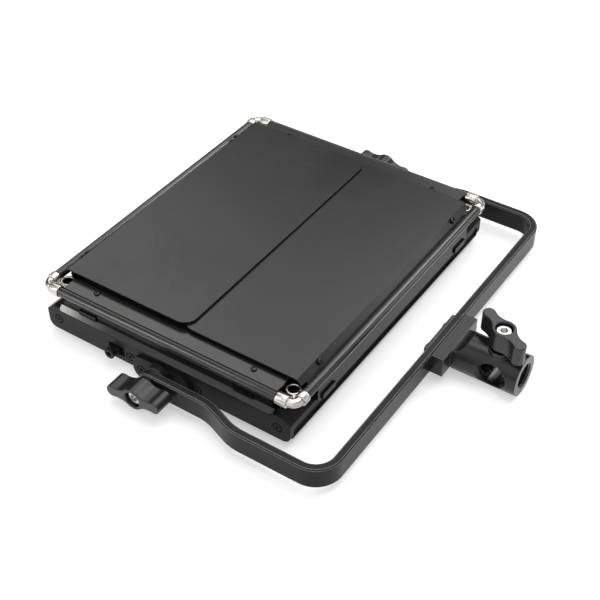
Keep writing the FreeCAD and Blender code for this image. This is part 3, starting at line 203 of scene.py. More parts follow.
def coated(name, colour, rough, grain, lift=0.0, edge_mm=0.45, streak=None, shine=0.5, bump=0.22,
           wear_and_highlight_width=2.2, bare=9.0):
    """Powder coat, anodised metal or moulded plastic: grain, edges lightened for wear and painted
    highlight, faint smears.

    lift says how far the lightened edges show, the next argument how wide they are and bare how bright; the
    lightening is partly edge wear and partly painted highlight along the chamfers.
    """
    grain_deep = 0.06 * MM
    finish = Finish(name)
    nodes = finish.nodes
    fine = nodes.noise(grain, 3.0, 0.62)
    cloud = nodes.noise(38.0, 4.0, 0.6, shift=3.1)
    smear = nodes.steps(nodes.noise(14.0, 5.0, 0.65, shift=7.7), [(0.42, 0.0), (0.72, 1.0)])
    pale = nodes.blend(cloud, rgba(colour, 0.86), rgba(colour, 1.16))
    pale = nodes.blend((fine * 0.35 + smear * 0.12).clipped(), pale, rgba(colour, 1.75))
    dull = rough - 0.06 + fine * 0.09 + smear * 0.08
    if edge_mm:
        finish.round_edges(edge_mm * MM)
        # Edge lightening: partly edge wear, partly a painted highlight along the chamfers.
        worn = finish.wear_and_highlight_edges(wear_and_highlight_width)
        pale = nodes.blend((worn * lift).clipped(), pale, rgba(colour, bare))
        dull = dull - worn * 0.08
    height = fine
    if streak:
        line = nodes.noise(1.0, 3.0, 0.7, stretch=streak)
        dull = dull + (line - 0.5) * 0.22
        height = fine * 0.5 + line * 0.8
    finish.set(Base_Color=pale, Roughness=dull.clipped(), Specular_IOR_Level=shine)
    finish.relief(height, bump, grain_deep)
    return finish.material


def sill_with_painted_highlight(name, coat, metal):
    """Glossy black coat, with a painted highlight towards the foot's left end: there the colour turns to
    bright steel and the surface turns metallic.
    """
    finish = Finish(name)
    nodes = finish.nodes
    place = nodes.add("ShaderNodeTexCoord", output="Object")
    left = nodes.add("ShaderNodeSeparateXYZ", {}, {"Vector": place}, output="X") * -1.0
    # Painted highlight: the colour turns to bright, metallic steel towards the left end.
    painted_highlight = nodes.steps(left, [(0.045, 0.02), (0.068, 0.20), (0.084, 0.85)])
    fine = nodes.noise(1.0, 3.0, 0.6, stretch=(30.0, 1500.0, 30.0))
    finish.set(Base_Color=nodes.blend(painted_highlight, rgba(coat), rgba(metal, 1.25)), Metallic=painted_highlight,
               Roughness=(fine * 0.1 + 0.2).clipped())
    return finish.material


def polished(name, colour, rough, streak=(900.0, 900.0, 900.0)):
    """Bright metal with hairline scratches and a little dulling."""
    edge, scratch_deep = 0.25 * MM, 0.02 * MM
    finish = Finish(name)
    nodes = finish.nodes
    finish.round_edges(edge)
    hair = nodes.noise(1.0, 4.0, 0.75, stretch=streak)
    cloud = nodes.noise(70.0, 3.0, 0.6, shift=1.3)
    finish.set(Base_Color=nodes.blend(cloud, rgba(colour, 0.9), rgba(colour, 1.08)), Metallic=1.0,
               Roughness=(rough + (hair - 0.5) * 0.1 + cloud * 0.05).clipped())
    finish.relief(hair, 0.04, scratch_deep)
    return finish.material


def opal(name, colour):
    """Frosted sheet that passes light."""
    light_reach, frost_deep = 4.0 * MM, 0.04 * MM
    finish = Finish(name)
    nodes = finish.nodes
    frost = nodes.noise(1900.0, 3.0, 0.6)
    cloud = nodes.noise(25.0, 3.0, 0.5, shift=2.0)
    finish.set(Base_Color=nodes.blend(cloud, rgba(colour, 0.96), rgba(colour, 1.04)),
               Roughness=(0.42 + frost * 0.16).clipped(), Metallic=0.0,
               Subsurface_Weight=0.25, Subsurface_Radius=(light_reach, light_reach, light_reach))
    finish.relief(frost, 0.2, frost_deep)
    return finish.material


def circuit(name, colour, copper):
    """Solder mask over copper tracks that run square to each other."""
    track_deep = 0.05 * MM
    finish = Finish(name)
    nodes = finish.nodes
    along = nodes.noise(1.0, 1.0, 0.3, stretch=(190.0, 12.0, 12.0))
    across = nodes.noise(1.0, 1.0, 0.3, stretch=(12.0, 190.0, 12.0), shift=4.0)
    track = nodes.steps(along * across * 3.6, [(0.86, 0.0), (0.92, 1.0)])
    grain = nodes.noise(1500.0, 2.0, 0.5)
    finish.set(Base_Color=nodes.blend(track, rgba(colour), rgba(copper)), Metallic=0.0,
               Roughness=(0.3 + grain * 0.12 + track * 0.08).clipped())
    finish.relief(track * 0.7 + grain * 0.2, 0.3, track_deep)
    return finish.material


FINISHES = {}


def finish_of(slot):
    if slot not in FINISHES:
        raise RuntimeError("no finish is made for slot %s" % slot)
    return FINISHES[slot]


# ---- meshes ---------------------------------------------------------------------------

def linked(name, data):
    """A new object in the scene."""
    thing = bpy.data.objects.new(name, data)
    bpy.context.scene.collection.objects.link(thing)
    return thing


def mesh_from(shape, name):
    """A mesh from a bmesh, which is used up."""
    mesh = bpy.data.meshes.new(name)
    shape.to_mesh(mesh)
    shape.free()
    return mesh


def smooth_mesh(shape, name, sharp):
    """A smooth mesh with sharp edges from an angle in degrees."""
    bmesh.ops.recalc_face_normals(shape, faces=shape.faces)
    for face in shape.faces:
        face.smooth = True
    mesh = mesh_from(shape, name)
    mesh.set_sharp_from_angle(angle=math.radians(sharp))
    return mesh


def ring(shape, centre, across, up, radius, segments):
    """A closed loop of vertices; the radius may be a function of the angle."""
    loop = []
    for step in range(segments):
        angle = 2 * math.pi * step / segments
        reach = radius(angle) if callable(radius) else radius
        loop.append(shape.verts.new(centre + (across * math.cos(angle) + up * math.sin(angle)) * reach))
    return loop


def skin(shape, loops):
    """Faces between each closed loop of vertices and the next."""
    for low, high in zip(loops, loops[1:]):
        for step in range(len(low)):
            after = (step + 1) % len(low)
            shape.faces.new((low[step], low[after], high[after], high[step]))


def turned(name, rings, segments=24):
    """Closed turned shape about Z, from (radius, height) rings."""
    shape = bmesh.new()
    loops = [ring(shape, Z_AXIS * height, X_AXIS, Y_AXIS, radius, segments) for radius, height in rings]
    skin(shape, loops)
    for loop, height in ((loops[0], rings[0][1]), (loops[-1], rings[-1][1])):
        middle = shape.verts.new((0, 0, height))
        for step in range(segments):
            shape.faces.new((loop[step], loop[(step + 1) % segments], middle))
    return smooth_mesh(shape, name, 38)


def cross(arm, width):
    """Reach of a cross recess at any angle."""
    def reach(angle):
        lean = abs((angle + math.pi / 4) % (math.pi / 2) - math.pi / 4)
        return min(arm, max(width * 1.5, width / max(math.sin(lean), 0.02)))
    return reach


def points_object(name, places):
    """A cloud of points, each with the way that it faces."""
    mesh = bpy.data.meshes.new(name)
    mesh.from_pydata([place for place, way in places], [], [])
    facing = mesh.attributes.new("facing", "FLOAT_VECTOR", "POINT")
    for item, (place, way) in zip(facing.data, places):
        item.vector = way
    return linked(name, mesh)


def scatter_tree():
    """Geometry tree: one copy of a shape on each point, turned the way that the point faces."""
    tree = bpy.data.node_groups.new("shape_on_points", "GeometryNodeTree")
    face = tree.interface
    face.new_socket("Geometry", in_out="INPUT", socket_type="NodeSocketGeometry")
    for name, kind in (("Shape", "NodeSocketObject"), ("Size", "NodeSocketFloat"),
                       ("Finish", "NodeSocketMaterial"), ("Turn spread", "NodeSocketFloat"),
                       ("Seed", "NodeSocketInt")):
        face.new_socket(name, in_out="INPUT", socket_type=kind)
    face.new_socket("Geometry", in_out="OUTPUT", socket_type="NodeSocketGeometry")
    nodes = Nodes(tree)
    source = tree.nodes.new("NodeGroupInput")
    given = {socket.name: Value(nodes, socket) for socket in source.outputs if socket.name}
    shape = nodes.add("GeometryNodeObjectInfo", {}, {"Object": given["Shape"]}, output="Geometry")
    facing = nodes.add("GeometryNodeInputNamedAttribute", {"data_type": "FLOAT_VECTOR"}, {"Name": "facing"},
                       output="Attribute")
    turn = nodes.add("FunctionNodeAlignRotationToVector", {"axis": "Z"}, {"Vector": facing})
    half = given["Turn spread"] * 0.5
    spin = nodes.add("FunctionNodeRandomValue", {"data_type": "FLOAT"},
                     {"Min": half * -1.0, "Max": half, "Seed": given["Seed"]})
    axis = nodes.add("ShaderNodeCombineXYZ", {}, {"Z": spin})
    spin = nodes.add("FunctionNodeEulerToRotation", {}, {"Euler": axis})
    turn = nodes.add("FunctionNodeRotateRotation", {"rotation_space": "LOCAL"},
                     {"Rotation": turn, "Rotate By": spin})
    placed = nodes.add("GeometryNodeInstanceOnPoints", {},
                       {"Points": given["Geometry"], "Instance": shape, "Rotation": turn,
                        "Scale": given["Size"]})
    whole = nodes.add("GeometryNodeRealizeInstances", {}, {"Geometry": placed})
    whole = nodes.add("GeometryNodeSetMaterial", {}, {"Geometry": whole, "Material": given["Finish"]})
    target = tree.nodes.new("NodeGroupOutput")
    tree.links.new(whole.socket, target.inputs["Geometry"])
    return tree


def scatter(name, mesh, places, slot, body, size=1.0, spread=0.0, seed=1):
    """Copies of one shape at the places, as one plain mesh that rides on a body."""
    tree = bpy.data.node_groups.get("shape_on_points") or scatter_tree()
    shape = linked(name + "_shape", mesh)
    cloud = points_object(name + "_points", places)
    modifier = cloud.modifiers.new("copies", "NODES")
    modifier.node_group = tree
    inputs = {"Shape": shape, "Size": size, "Finish": finish_of(slot), "Turn spread": spread, "Seed": seed}
    for item in tree.interface.items_tree:
        if item.name in inputs:
            modifier[item.identifier] = inputs[item.name]
    evaluated = cloud.evaluated_get(bpy.context.evaluated_depsgraph_get())
    made = bpy.data.meshes.new_from_object(evaluated)
    made.name = name
    if not made.polygons:
        raise RuntimeError("%s came out empty" % name)
    cloud.modifiers.remove(modifier)
    bpy.data.objects.remove(cloud)
    bpy.data.objects.remove(shape)
    piece = linked(name, made)
    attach(piece, body)
    return piece


def middle(node):
    low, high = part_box(node)
    return (Vector(low) + Vector(high)) / 2


# ---- settings -------------------------------------------------------------------------

def tint(name, default, text):
    return FloatVectorProperty(name=name, default=default, size=3, min=0.0, max=1.0, subtype="COLOR",
                               description=text)


def length(name, millimetres, text):
    return FloatProperty(name=name, default=millimetres * MM, unit="LENGTH", description=text)


def watts(name, default, text):
    return FloatProperty(name=name, default=default, min=0.0, description=text + ", in watts")


class PanelLightColours(bpy.types.PropertyGroup):
    """Colours of the finishes."""
    housing: tint("Housing", (0.010, 0.010, 0.0103), "Powder coat of the housing")
    leaves: tint("Leaves", (0.0075, 0.0073, 0.0073), "Matt coat of the barn door's leaves")
    rails: tint("Door rails", (0.005, 0.005, 0.005), "Coat of the rails under the barn door")
    hinges: tint("Hinges", (0.011, 0.0102, 0.0094), "Satin coat of the leaves' hinges")
    yoke: tint("Yoke", (0.008, 0.008, 0.0083), "Satin coat of the yoke")
    receiver: tint("Receiver", (0.007, 0.007, 0.0073), "Anodised coat of the stand receiver")
    knobs: tint("Knobs", (0.008, 0.008, 0.0083), "Moulded wing knobs and controls")
    # Besides the cap screws, the steel tint colours the painted highlight at the sill lips' left ends.
    nickel: tint("Nickel", (0.58, 0.555, 0.515), "Plated elbows, cups and hinge rods")
    steel: tint("Steel", (0.62, 0.61, 0.59), "Bright cap screws, and bare metal under worn coats")
    diffuser: tint("Diffuser", (0.50, 0.50, 0.48), "Opal front sheet")


class PanelLightSizes(bpy.types.PropertyGroup):
    """Sizes of the small hardware."""
    pan_head: length("Pan head", 2.1, "Radius of the leaves' screw heads")
    pan_tall: length("Pan head height", 1.25, "Height of the leaves' screw heads")
    door_x: length("Side hinges", 100.5, "Distance from the middle to the side hinges' axes")
    door_y: length("End hinges", 122.0, "Distance from the middle to the end hinges' axes")
    door_z: length("Hinge height", 37.6, "Height of the four hinge axes")
    bend: length("Elbow bend", 5.0, "Radius of the elbows' centre line")
    cup_x: length("Cups along X", 91.5, "Distance from the middle to the corner cups")
    cup_y: length("Cups along Y", 110.5, "Distance from the middle to the corner cups")
    rib_count: IntProperty(name="Dimmer ribs", default=36, min=8, max=90,
                           description="Number of grip ribs round the dimmer knob")
    lens_reach: length("Lens radius", 1.9, "Radius of the clear dome on each LED")


class PanelLightStudio(bpy.types.PropertyGroup):
    """Floor, lights and view."""
    floor: tint("Floor", (0.68, 0.68, 0.68), "Colour of the floor")
    glow: FloatProperty(name="Floor glow", default=0.42, min=0.0,
                        description="Light that the floor gives off")
    sky: FloatProperty(name="Room light", default=0.80, min=0.0,
                       description="Strength of the room's even light")
    key: watts("Key light", 15.0, "Power of the large light above")
    front: watts("Front light", 3.8, "Power of the large light in front")
    side: watts("Side light", 1.5, "Power of the low light beside the right hinges")
    barrel: watts("Barrel light", 4.0, "Power of the small light that runs along the side hinges")
    rim: watts("Rim light", 3.5, "Power of the narrow light at the near left")
    lens: FloatProperty(name="Lens", default=70.7, min=10.0, description="Focal length in millimetres")


# ---- operators ------------------------------------------------------------------------

class PanelLightFinishes(bpy.types.Operator):
    """Make every finish and give each CAD piece its own"""
    bl_idname = "panel_light.finishes"
    bl_label = "Finishes"

    OWN_FINISH = {
        "door_clips": "rail_black",
        "end_plate_screws": "housing_black",
        "lock_screw": "housing_black",
        "pivot_plate_screws": "housing_black",
    }
    GROUP_FINISH = {"_leaf_hinge": "hinge_black", "_door_rail": "rail_black"}

    def execute(self, context):
        self.make_finishes(context.scene.panel_light_colours)
        for part in frame["record"]["subparts"]:
            name = part["node"]
            finish = self.OWN_FINISH.get(name, part["material_slot"])
            for ending, group_finish in self.GROUP_FINISH.items():
                if name.endswith(ending):
                    finish = group_finish
            for slot in frame["nodes"][name].material_slots:
                slot.material = finish_of(finish)
        return {"FINISHED"}

    def make_finishes(self, colours):
        blackened, foot_grey, sheet = (0.003, 0.003, 0.003), (0.02, 0.02, 0.02), (0.6, 0.6, 0.61)
        FINISHES.update({
            "housing_black": coated("housing_coat", colours.housing, 0.42, 1500.0, lift=0.22, shine=0.14),
            "leaf_black": coated("leaf_coat", colours.leaves, 0.24, 2100.0, lift=0.15, edge_mm=0.3,
                                 shine=0.45, bump=0.08),
            "hinge_black": coated("hinge_coat", colours.hinges, 0.22, 1900.0, edge_mm=0.0, shine=0.6,
                                  bump=0.05),
            "rail_black": coated("rail_coat", colours.rails, 0.20, 1500.0, edge_mm=0.0, shine=0.12,
                                 bump=0.03),
            # The yoke's and receiver's bright edge lines are painted highlight along the chamfers, on top
            # of edge wear.
            "yoke_black": coated("yoke_coat", colours.yoke, 0.27, 1700.0, lift=0.85, edge_mm=0.8,
                                 streak=(26.0, 26.0, 2600.0), shine=0.14, wear_and_highlight_width=9.0, bare=46.0),
            "receiver_black": coated("anodised", colours.receiver, 0.25, 2400.0, lift=0.75, edge_mm=0.4,
                                     streak=(2600.0, 60.0, 60.0), shine=0.34, wear_and_highlight_width=6.0, bare=26.0),
            "knob_black": coated("moulded_knob", colours.knobs, 0.27, 900.0, lift=0.45, edge_mm=0.6,
                                 bump=0.12),
            "switch_plastic": coated("control_plastic", colours.knobs, 0.30, 1100.0, lift=0.10,
                                     edge_mm=0.3),
            "screw_black": coated("blackened_steel", blackened, 0.14, 1200.0, lift=0.3, edge_mm=0.15,
                                  bump=0.05),
            "rubber": coated("foot_rubber", foot_grey, 0.75, 800.0, lift=0.05, edge_mm=0.5),
            "screw_bright": polished("bright_steel", colours.steel, 0.16, (60.0, 60.0, 1800.0)),
            "nickel": polished("nickel_plate", colours.nickel, 0.25),
            # The sill finish paints a highlight towards the left ends of the lips.
            "sill_painted_highlight": sill_with_painted_highlight("sill_coat", colours.rails, colours.steel),
            "aluminium_bare": polished("milled_sheet", sheet, 0.34, (20.0, 1500.0, 20.0)),
            "diffuser_white": opal("opal_sheet", colours.diffuser),
            "circuit_board": circuit("white_board", (0.80, 0.81, 0.80), (0.66, 0.67, 0.64)),
            "green_board": circuit("green_board", (0.02, 0.10, 0.05), (0.05, 0.22, 0.10)),
            "chip_yellow": opal("phosphor", (0.86, 0.74, 0.30)),
        })


class PanelLightLeafScrews(bpy.types.Operator):
    """Domed cross-recess screws in the barn door's leaves"""
    bl_idname = "panel_light.leaf_screws"
    bl_label = "Leaf screws"

    END_INSET = 2.4 * MM
    SEAT_DROP = 1.3 * MM
    SHANK_STEP = 0.4 * MM
    SHANK_LONG = 1.6 * MM

    def execute(self, context):
        sizes = context.scene.panel_light_sizes
        head = self.head(sizes.pan_head, sizes.pan_tall)
        for body in ("left_leaf", "right_leaf", "near_leaf", "far_leaf"):
            node = body + "_screws"
            low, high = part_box(node)
            if body in ("left_leaf", "right_leaf"):
                places = self.on_slope(low, high, -1 if body == "left_leaf" else 1, sizes)
            else:
                reach = (high[0] - low[0]) / 2 - self.END_INSET
                seat = Vector((0, (low[1] + high[1]) / 2, high[2] - self.SEAT_DROP))
                places = [(seat + X_AXIS * turn * reach, Z_AXIS) for turn in (-1, 1)]
            piece = scatter(body + "_screw_heads", head, places, "screw_black", body, spread=2.0, seed=4)
            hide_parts(node)
        return {"FINISHED"}

    def head(self, wide, tall):
        """A pan head with a cross recess, and a short shank."""
        recess = cross(wide * 0.62, wide * 0.13)
        shank = wide * 0.55
        rings = [(recess, tall - wide * 0.42), (recess, tall), (wide * 0.68, tall),
                 (wide * 0.86, tall * 0.9), (wide * 0.97, tall * 0.66), (wide, tall * 0.35),
                 (wide * 0.985, 0.0),
                 (shank, -self.SHANK_STEP), (shank, -self.SHANK_LONG)]
        return turned("pan_head", rings, 32)

    def on_slope(self, low, high, sign, sizes):
        """Places of a side leaf's two screws, on its sloped flange."""
        slope = Vector((sign, 0, 1))
        facing = slope.normalized()
        outer = Vector((high[0] if sign > 0 else low[0], 0, high[2]))
        seat = outer - facing * sizes.pan_tall - slope * sizes.pan_head * 0.5
        reach = (high[1] - low[1]) / 2 - sizes.pan_head
        return [(Vector((seat.x, turn * reach, seat.z)), facing) for turn in (-1, 1)]


class PanelLightElbows(bpy.types.Operator):
    """Plated corner elbows, each with two collars and a cup inside the bend"""
    bl_idname = "panel_light.elbows"
    bl_label = "Corner elbows"

    COLLAR_X = 8.0 * MM
    COLLAR_Y = 5.5 * MM
    COLLAR_BORE = 3.5
    COLLAR_NECK = 3.0
    COLLAR_ROUND = ((0.0, 3.85), (0.22, 4.12), (0.5, 4.2))
    BEND_RADIUS = 3.1
    BEND_END = ((0.25, 2.7), (0.3, 3.0))
    BEND_STEPS = 14
    CUP_PROFILE = ((4.6, 31.0), (5.0, 31.4), (5.0, 36.7), (4.85, 37.15), (4.5, 37.4), (4.05, 37.4),
                   (3.65, 37.2), (3.45, 36.8), (3.4, 32.4))
    CUP_HOLLOW = 3.5 * MM
    # Height band of the painted shade inside the cup.
    CUP_SHADE_FROM = 31.5 * MM
    CUP_SHADE_TO = 36.5 * MM
    WEB_START = 3.3 * MM
    WEB_FOOT = 34.4 * MM
    WEB_LONG = 4.6 * MM
    WEB_HALF = 1.6 * MM
    WEB_TALL = 2.4 * MM

    def execute(self, context):
        sizes = context.scene.panel_light_sizes
        for name, x, y in (("near_left_elbow", -1, -1), ("near_right_elbow", 1, -1),
                           ("far_right_elbow", 1, 1), ("far_left_elbow", -1, 1)):
            shape = bmesh.new()
            self.pipe(shape, sizes)
            self.cup(shape, sizes)
            self.web(shape, sizes)
            for vertex in shape.verts:
                vertex.co.x *= x
                vertex.co.y *= y
            mesh = smooth_mesh(shape, name + "_plated", 40)
            mesh.materials.append(finish_of("nickel"))
            # Second slot: black, for the painted shade inside the cup.
            mesh.materials.append(finish_of("screw_black"))
            self.paint_cup_shade(mesh, Vector((x * sizes.cup_x, y * sizes.cup_y)))
            piece = linked(name + "_plated", mesh)
            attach(piece, "housing")
            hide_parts(name)
        return {"FINISHED"}

    def paint_cup_shade(self, mesh, centre):
        """Give the inside of the cup the dark finish, as painted shade."""
        for face in mesh.polygons:
            spot = face.center
            inside = (spot.xy - centre).length < self.CUP_HOLLOW
            if inside and self.CUP_SHADE_FROM < spot.z < self.CUP_SHADE_TO:
                face.material_index = 1

    def collar(self, start, end):
        """Distances and radii of a collar with rounded rims."""
        rims = [(start + step * MM, radius) for step, radius in self.COLLAR_ROUND]
        rims += [(end - step * MM, radius) for step, radius in reversed(self.COLLAR_ROUND)]
        return [(start, self.COLLAR_BORE)] + rims + [(end, self.COLLAR_NECK)]

    def pipe(self, shape, sizes):
        """Two collars and the bend between them, swept along the corner."""
        bend = sizes.bend
        arc = bend * math.pi / 2
        bend_end = self.COLLAR_X + arc
        run = self.collar(0.0, self.COLLAR_X)
        run += [(self.COLLAR_X + step * MM, radius) for step, radius in self.BEND_END]
        run += [(self.COLLAR_X + arc * part / self.BEND_STEPS, self.BEND_RADIUS)
                for part in range(1, self.BEND_STEPS)]
        run += [(bend_end - step * MM, radius) for step, radius in reversed(self.BEND_END)]
        run += self.collar(bend_end, bend_end + self.COLLAR_Y)
        corner = Vector((sizes.door_x - bend, sizes.door_y - bend, sizes.door_z))
        loops = []
        for distance, radius in run:
            turn = min(max((distance - self.COLLAR_X) / bend, 0.0), math.pi / 2)
            outward = Vector((math.sin(turn), math.cos(turn), 0.0))
            before = min(distance - self.COLLAR_X, 0.0)
            after = max(distance - bend_end, 0.0)
            spot = corner + outward * bend + X_AXIS * before - Y_AXIS * after
            loops.append(ring(shape, spot, outward, Z_AXIS, radius * MM, 36))
        skin(shape, loops)
        shape.faces.new(loops[0])
        shape.faces.new(loops[-1])

    def cup(self, shape, sizes):
        """Open cup with a rounded rim."""
        loops = []
        for radius, height in self.CUP_PROFILE:
            centre = Vector((sizes.cup_x, sizes.cup_y, height * MM))
            loops.append(ring(shape, centre, X_AXIS, Y_AXIS, radius * MM, 32))
        skin(shape, loops)
        shape.faces.new(loops[0])
        shape.faces.new(loops[-1])

    def web(self, shape, sizes):
        """Block that joins the cup to the bend."""
        start = Vector((sizes.cup_x + self.WEB_START, sizes.cup_y + self.WEB_START, self.WEB_FOOT))
        along = (X_AXIS + Y_AXIS).normalized()
        across = (Y_AXIS - X_AXIS).normalized() * self.WEB_HALF
        corners = []
        for step in (0.0, self.WEB_LONG):
            for side in (-1, 1):
                for lift in (0.0, self.WEB_TALL):
                    corners.append(shape.verts.new(start + along * step + across * side + Z_AXIS * lift))
        for quad in ((0, 1, 3, 2), (4, 6, 7, 5), (0, 4, 5, 1), (2, 3, 7, 6), (1, 5, 7, 3), (0, 2, 6, 4)):
            shape.faces.new([corners[index] for index in quad])


class PanelLightSills(bpy.types.Operator):
    """Sloped lips along the feet of the two end rails, with a painted highlight towards their left ends"""
    bl_idname = "panel_light.sills"
    bl_label = "Sill lips"

    EDGE_GAP = 0.15 * MM
    END_GAP = 0.4 * MM
    WIDE = 3.75 * MM
    ROUND = 2.6 * MM
    ROUND_STEPS = 6
    OUTER_RISE = 0.78 * MM
    SLOPE_RISE = 2.12 * MM
    THICK = 0.12 * MM

    def execute(self, context):
        for name in ("near_door_rail", "far_door_rail"):
            low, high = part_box(name)
            sign = -1 if name == "near_door_rail" else 1
            outer = (high[1] if sign > 0 else -low[1]) - self.EDGE_GAP
            shape = bmesh.new()
            verts = []
            for x, y in self.outline(high[0] - self.END_GAP, outer):
                slope = (outer - y) / self.WIDE
                height = low[2] + self.OUTER_RISE + self.SLOPE_RISE * slope
                verts.append(shape.verts.new((x, sign * y, height)))
            shape.faces.new(verts)
            bmesh.ops.recalc_face_normals(shape, faces=shape.faces)
            if shape.faces[:][0].normal.z < 0:
                bmesh.ops.reverse_faces(shape, faces=shape.faces)
            mesh = mesh_from(shape, name + "_lip")
            # The lip's finish carries a painted highlight towards its left end.
            mesh.materials.append(finish_of("sill_painted_highlight"))
            piece = linked(name + "_lip", mesh)
            wall = piece.modifiers.new("thickness", "SOLIDIFY")
            wall.thickness = self.THICK
            wall.offset = 1.0
            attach(piece, "housing")
        return {"FINISHED"}

    def outline(self, reach, outer):
        """The lip from above, with its two outer corners rounded."""
        inner = outer - self.WIDE
        outline = [(-reach, inner), (reach, inner)]
        for corner, start in ((1, 0), (-1, 90)):
            for step in range(self.ROUND_STEPS + 1):
                angle = math.radians(start + 90 * step / self.ROUND_STEPS)
                outline.append((corner * (reach - self.ROUND) + self.ROUND * math.cos(angle),
                                outer - self.ROUND + self.ROUND * math.sin(angle)))
        return outline


class PanelLightDimmerRibs(bpy.types.Operator):
    """Grip ribs round the dimmer knob"""
    bl_idname = "panel_light.dimmer_ribs"
    bl_label = "Dimmer ribs"

    RIB_RADIUS = 0.26 * MM
    TIP_RADIUS = 0.14 * MM
    HALF_LONG = 2.9 * MM
    HALF_STRAIGHT = 2.6 * MM
    SUNK = 0.12 * MM
    FROM_FACE = 4.6 * MM

    def execute(self, context):
        low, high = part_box("dimmer_knob")
        centre = middle("dimmer_knob")
        reach = ((high[0] - low[0]) / 2 - self.SUNK) * 0.98
        rib = turned("rib", [(self.TIP_RADIUS, -self.HALF_LONG), (self.RIB_RADIUS, -self.HALF_STRAIGHT),
                             (self.RIB_RADIUS, self.HALF_STRAIGHT), (self.TIP_RADIUS, self.HALF_LONG)], 8)
        places = []
        count = context.scene.panel_light_sizes.rib_count
        for step in range(count):
            angle = 2 * math.pi * (step + 0.5) / count
            spot = Vector((centre.x + reach * math.cos(angle), high[1] - self.FROM_FACE,
                           centre.z + reach * math.sin(angle)))
            places.append((spot, Y_AXIS))
        scatter("dimmer_ribs", rib, places, "knob_black", "dimmer")
        return {"FINISHED"}


class PanelLightLenses(bpy.types.Operator):
    """Clear domes on the LED packages"""
    bl_idname = "panel_light.lenses"
    bl_label = "LED domes"

    COLUMNS = 6
    LINES = 8
    PACKAGE_HALF = 2.5 * MM

    def execute(self, context):
        low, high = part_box("led_chips")
        wide = context.scene.panel_light_sizes.lens_reach
        dome = turned("dome", [(wide, -0.1 * MM), (wide, 0.1 * MM), (wide * 0.88, 0.45 * MM),
                               (wide * 0.6, 0.75 * MM), (wide * 0.3, 0.88 * MM)], 16)
        half = self.PACKAGE_HALF
        places = []
        for column in range(self.COLUMNS):
            for line in range(self.LINES):
                x = low[0] + half + (high[0] - low[0] - 2 * half) * column / (self.COLUMNS - 1)
                y = low[1] + half + (high[1] - low[1] - 2 * half) * line / (self.LINES - 1)
                places.append((Vector((x, y, high[2])), Z_AXIS))
        scatter("led_domes", dome, places, "chip_yellow", "housing")
        return {"FINISHED"}


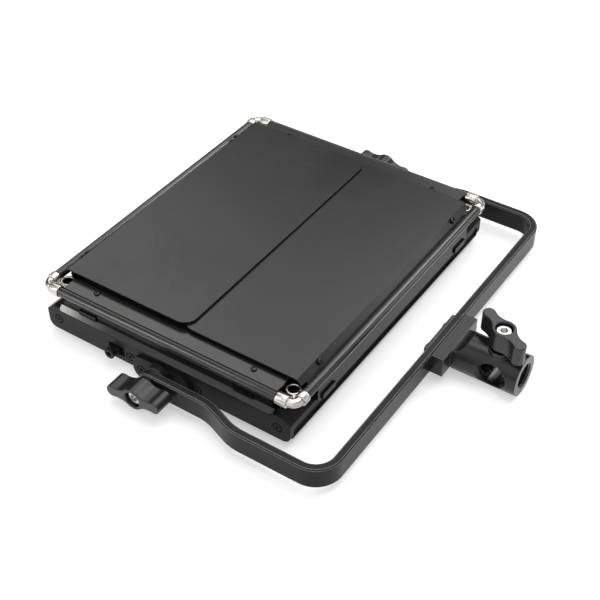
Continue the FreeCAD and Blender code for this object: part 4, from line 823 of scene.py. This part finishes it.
class PanelLightStage(bpy.types.Operator):
    """Camera, floor, room light and soft lights"""
    bl_idname = "panel_light.stage"
    bl_label = "Studio"

    VIEW_PLACE = (0.3743, -0.5261, 0.5498)
    VIEW_TILT = 48.75
    VIEW_TURN = 33.79
    SENSOR = 36.0
    FLOOR_REACH = 30.0
    LIGHT_AIM = Vector((0.04, 0.0, 0.02))
    LIGHTS = {
        "key": (1.2, 1.2, (0.15, 0.25, 1.6)),
        "front": (1.2, 1.2, (0.2, -1.2, 1.1)),
        "side": (0.2, 0.8, (0.97, 0.95, 0.33)),
        "barrel": (0.35, 0.35, (0.36, 0.84, 0.92)),
        "rim": (0.15, 0.9, (-0.70, -1.00, 0.72)),
    }

    def execute(self, context):
        studio = context.scene.panel_light_studio
        scene = context.scene
        camera = linked("view", bpy.data.cameras.new("view"))
        camera.location = self.VIEW_PLACE
        camera.rotation_euler = (math.radians(self.VIEW_TILT), 0.0, math.radians(self.VIEW_TURN))
        camera.data.lens = studio.lens
        camera.data.sensor_width = self.SENSOR
        camera.data.clip_start = 0.01
        scene.camera = camera
        scene.view_settings.view_transform = "Standard"
        self.floor(studio)
        self.room(scene, studio)
        for name, (wide, tall, place) in self.LIGHTS.items():
            self.soft_light(name, getattr(studio, name), wide, tall, place)
        return {"FINISHED"}

    def floor(self, studio):
        """A pale floor that glows a little."""
        mesh = bpy.data.meshes.new("floor")
        reach = self.FLOOR_REACH
        corners = [(-reach, -reach, 0), (reach, -reach, 0), (reach, reach, 0), (-reach, reach, 0)]
        mesh.from_pydata(corners, [], [(0, 1, 2, 3)])
        floor = linked("floor", mesh)
        finish = Finish("floor_paint")
        grain = finish.nodes.noise(300.0, 2.0, 0.5)
        paint = finish.nodes.blend(grain, rgba(studio.floor, 0.995), rgba(studio.floor, 1.005))
        finish.set(Base_Color=paint, Roughness=0.8, Specular_IOR_Level=0.1,
                   Emission_Color=(1.0, 1.0, 1.0, 1.0), Emission_Strength=studio.glow)
        mesh.materials.append(finish.material)

    def room(self, scene, studio):
        """Even light in front, and two bright cards on a dark wall behind the piece."""
        world = bpy.data.worlds.new("room")
        world.use_nodes = True
        nodes = Nodes(world.node_tree)
        way = nodes.add("ShaderNodeTexCoord", output="Generated")
        up = nodes.add("ShaderNodeSeparateXYZ", {}, {"Vector": way}, output="Z")
        open_sky = nodes.steps(up, [(0.0, 0.95), (0.3, 0.75), (0.62, 0.7), (0.85, 1.0)])
        wide_card = nodes.steps(nodes.towards(way, 138.0, 45.0),
                                [(0.90, 0.0), (0.945, 0.04), (0.967, 0.4), (0.98, 1.6), (0.995, 3.0)])
        small_card = nodes.steps(nodes.towards(way, 107.0, 46.0), [(0.978, 0.0), (0.992, 4.0)])
        behind = nodes.steps(nodes.towards(way, 118.6, 0.0), [(0.1, 0.0), (0.4, 1.0)])
        sky = nodes.blend(behind, open_sky, wide_card + small_card)
        background = world.node_tree.nodes["Background"]
        world.node_tree.links.new(sky.socket, background.inputs["Color"])
        background.inputs["Strength"].default_value = studio.sky
        scene.world = world

    def soft_light(self, name, power, wide, tall, place):
        """An area light that points at the piece."""
        light = bpy.data.lights.new(name, "AREA")
        light.shape = "RECTANGLE"
        light.size = wide
        light.size_y = tall
        light.energy = power
        lamp = linked(name, light)
        lamp.location = place
        lamp.rotation_euler = (self.LIGHT_AIM - Vector(place)).to_track_quat("-Z", "Y").to_euler()


class PanelLightSidebar(bpy.types.Panel):
    """Sidebar panel with the sizes, colours and steps"""
    bl_idname = "PANEL_LIGHT_PT_sidebar"
    bl_label = "Panel light"
    bl_space_type = "VIEW_3D"
    bl_region_type = "UI"
    bl_category = "Panel Light"

    def draw(self, context):
        for name in GROUPS:
            group = getattr(context.scene, name)
            column = self.layout.box().column()
            for item in group.bl_rna.properties:
                if not item.is_readonly and item.identifier != "name":
                    column.prop(group, item.identifier)
        for step in STEPS:
            self.layout.operator(step.bl_idname)


STEPS = [PanelLightStage, PanelLightFinishes, PanelLightElbows, PanelLightSills, PanelLightLeafScrews,
         PanelLightDimmerRibs, PanelLightLenses]
GROUPS = {"panel_light_colours": PanelLightColours, "panel_light_sizes": PanelLightSizes,
          "panel_light_studio": PanelLightStudio}


def register():
    for name, group in GROUPS.items():
        bpy.utils.register_class(group)
        setattr(bpy.types.Scene, name, PointerProperty(type=group))
    for kind in STEPS + [PanelLightSidebar]:
        bpy.utils.register_class(kind)


def unregister():
    for kind in reversed(STEPS + [PanelLightSidebar]):
        bpy.utils.unregister_class(kind)
    for name, group in GROUPS.items():
        delattr(bpy.types.Scene, name)
        bpy.utils.unregister_class(group)


def main():
    register()
    for step in STEPS:
        family, name = step.bl_idname.split(".")
        getattr(getattr(bpy.ops, family), name)()


if __name__ == "__main__":
    main()
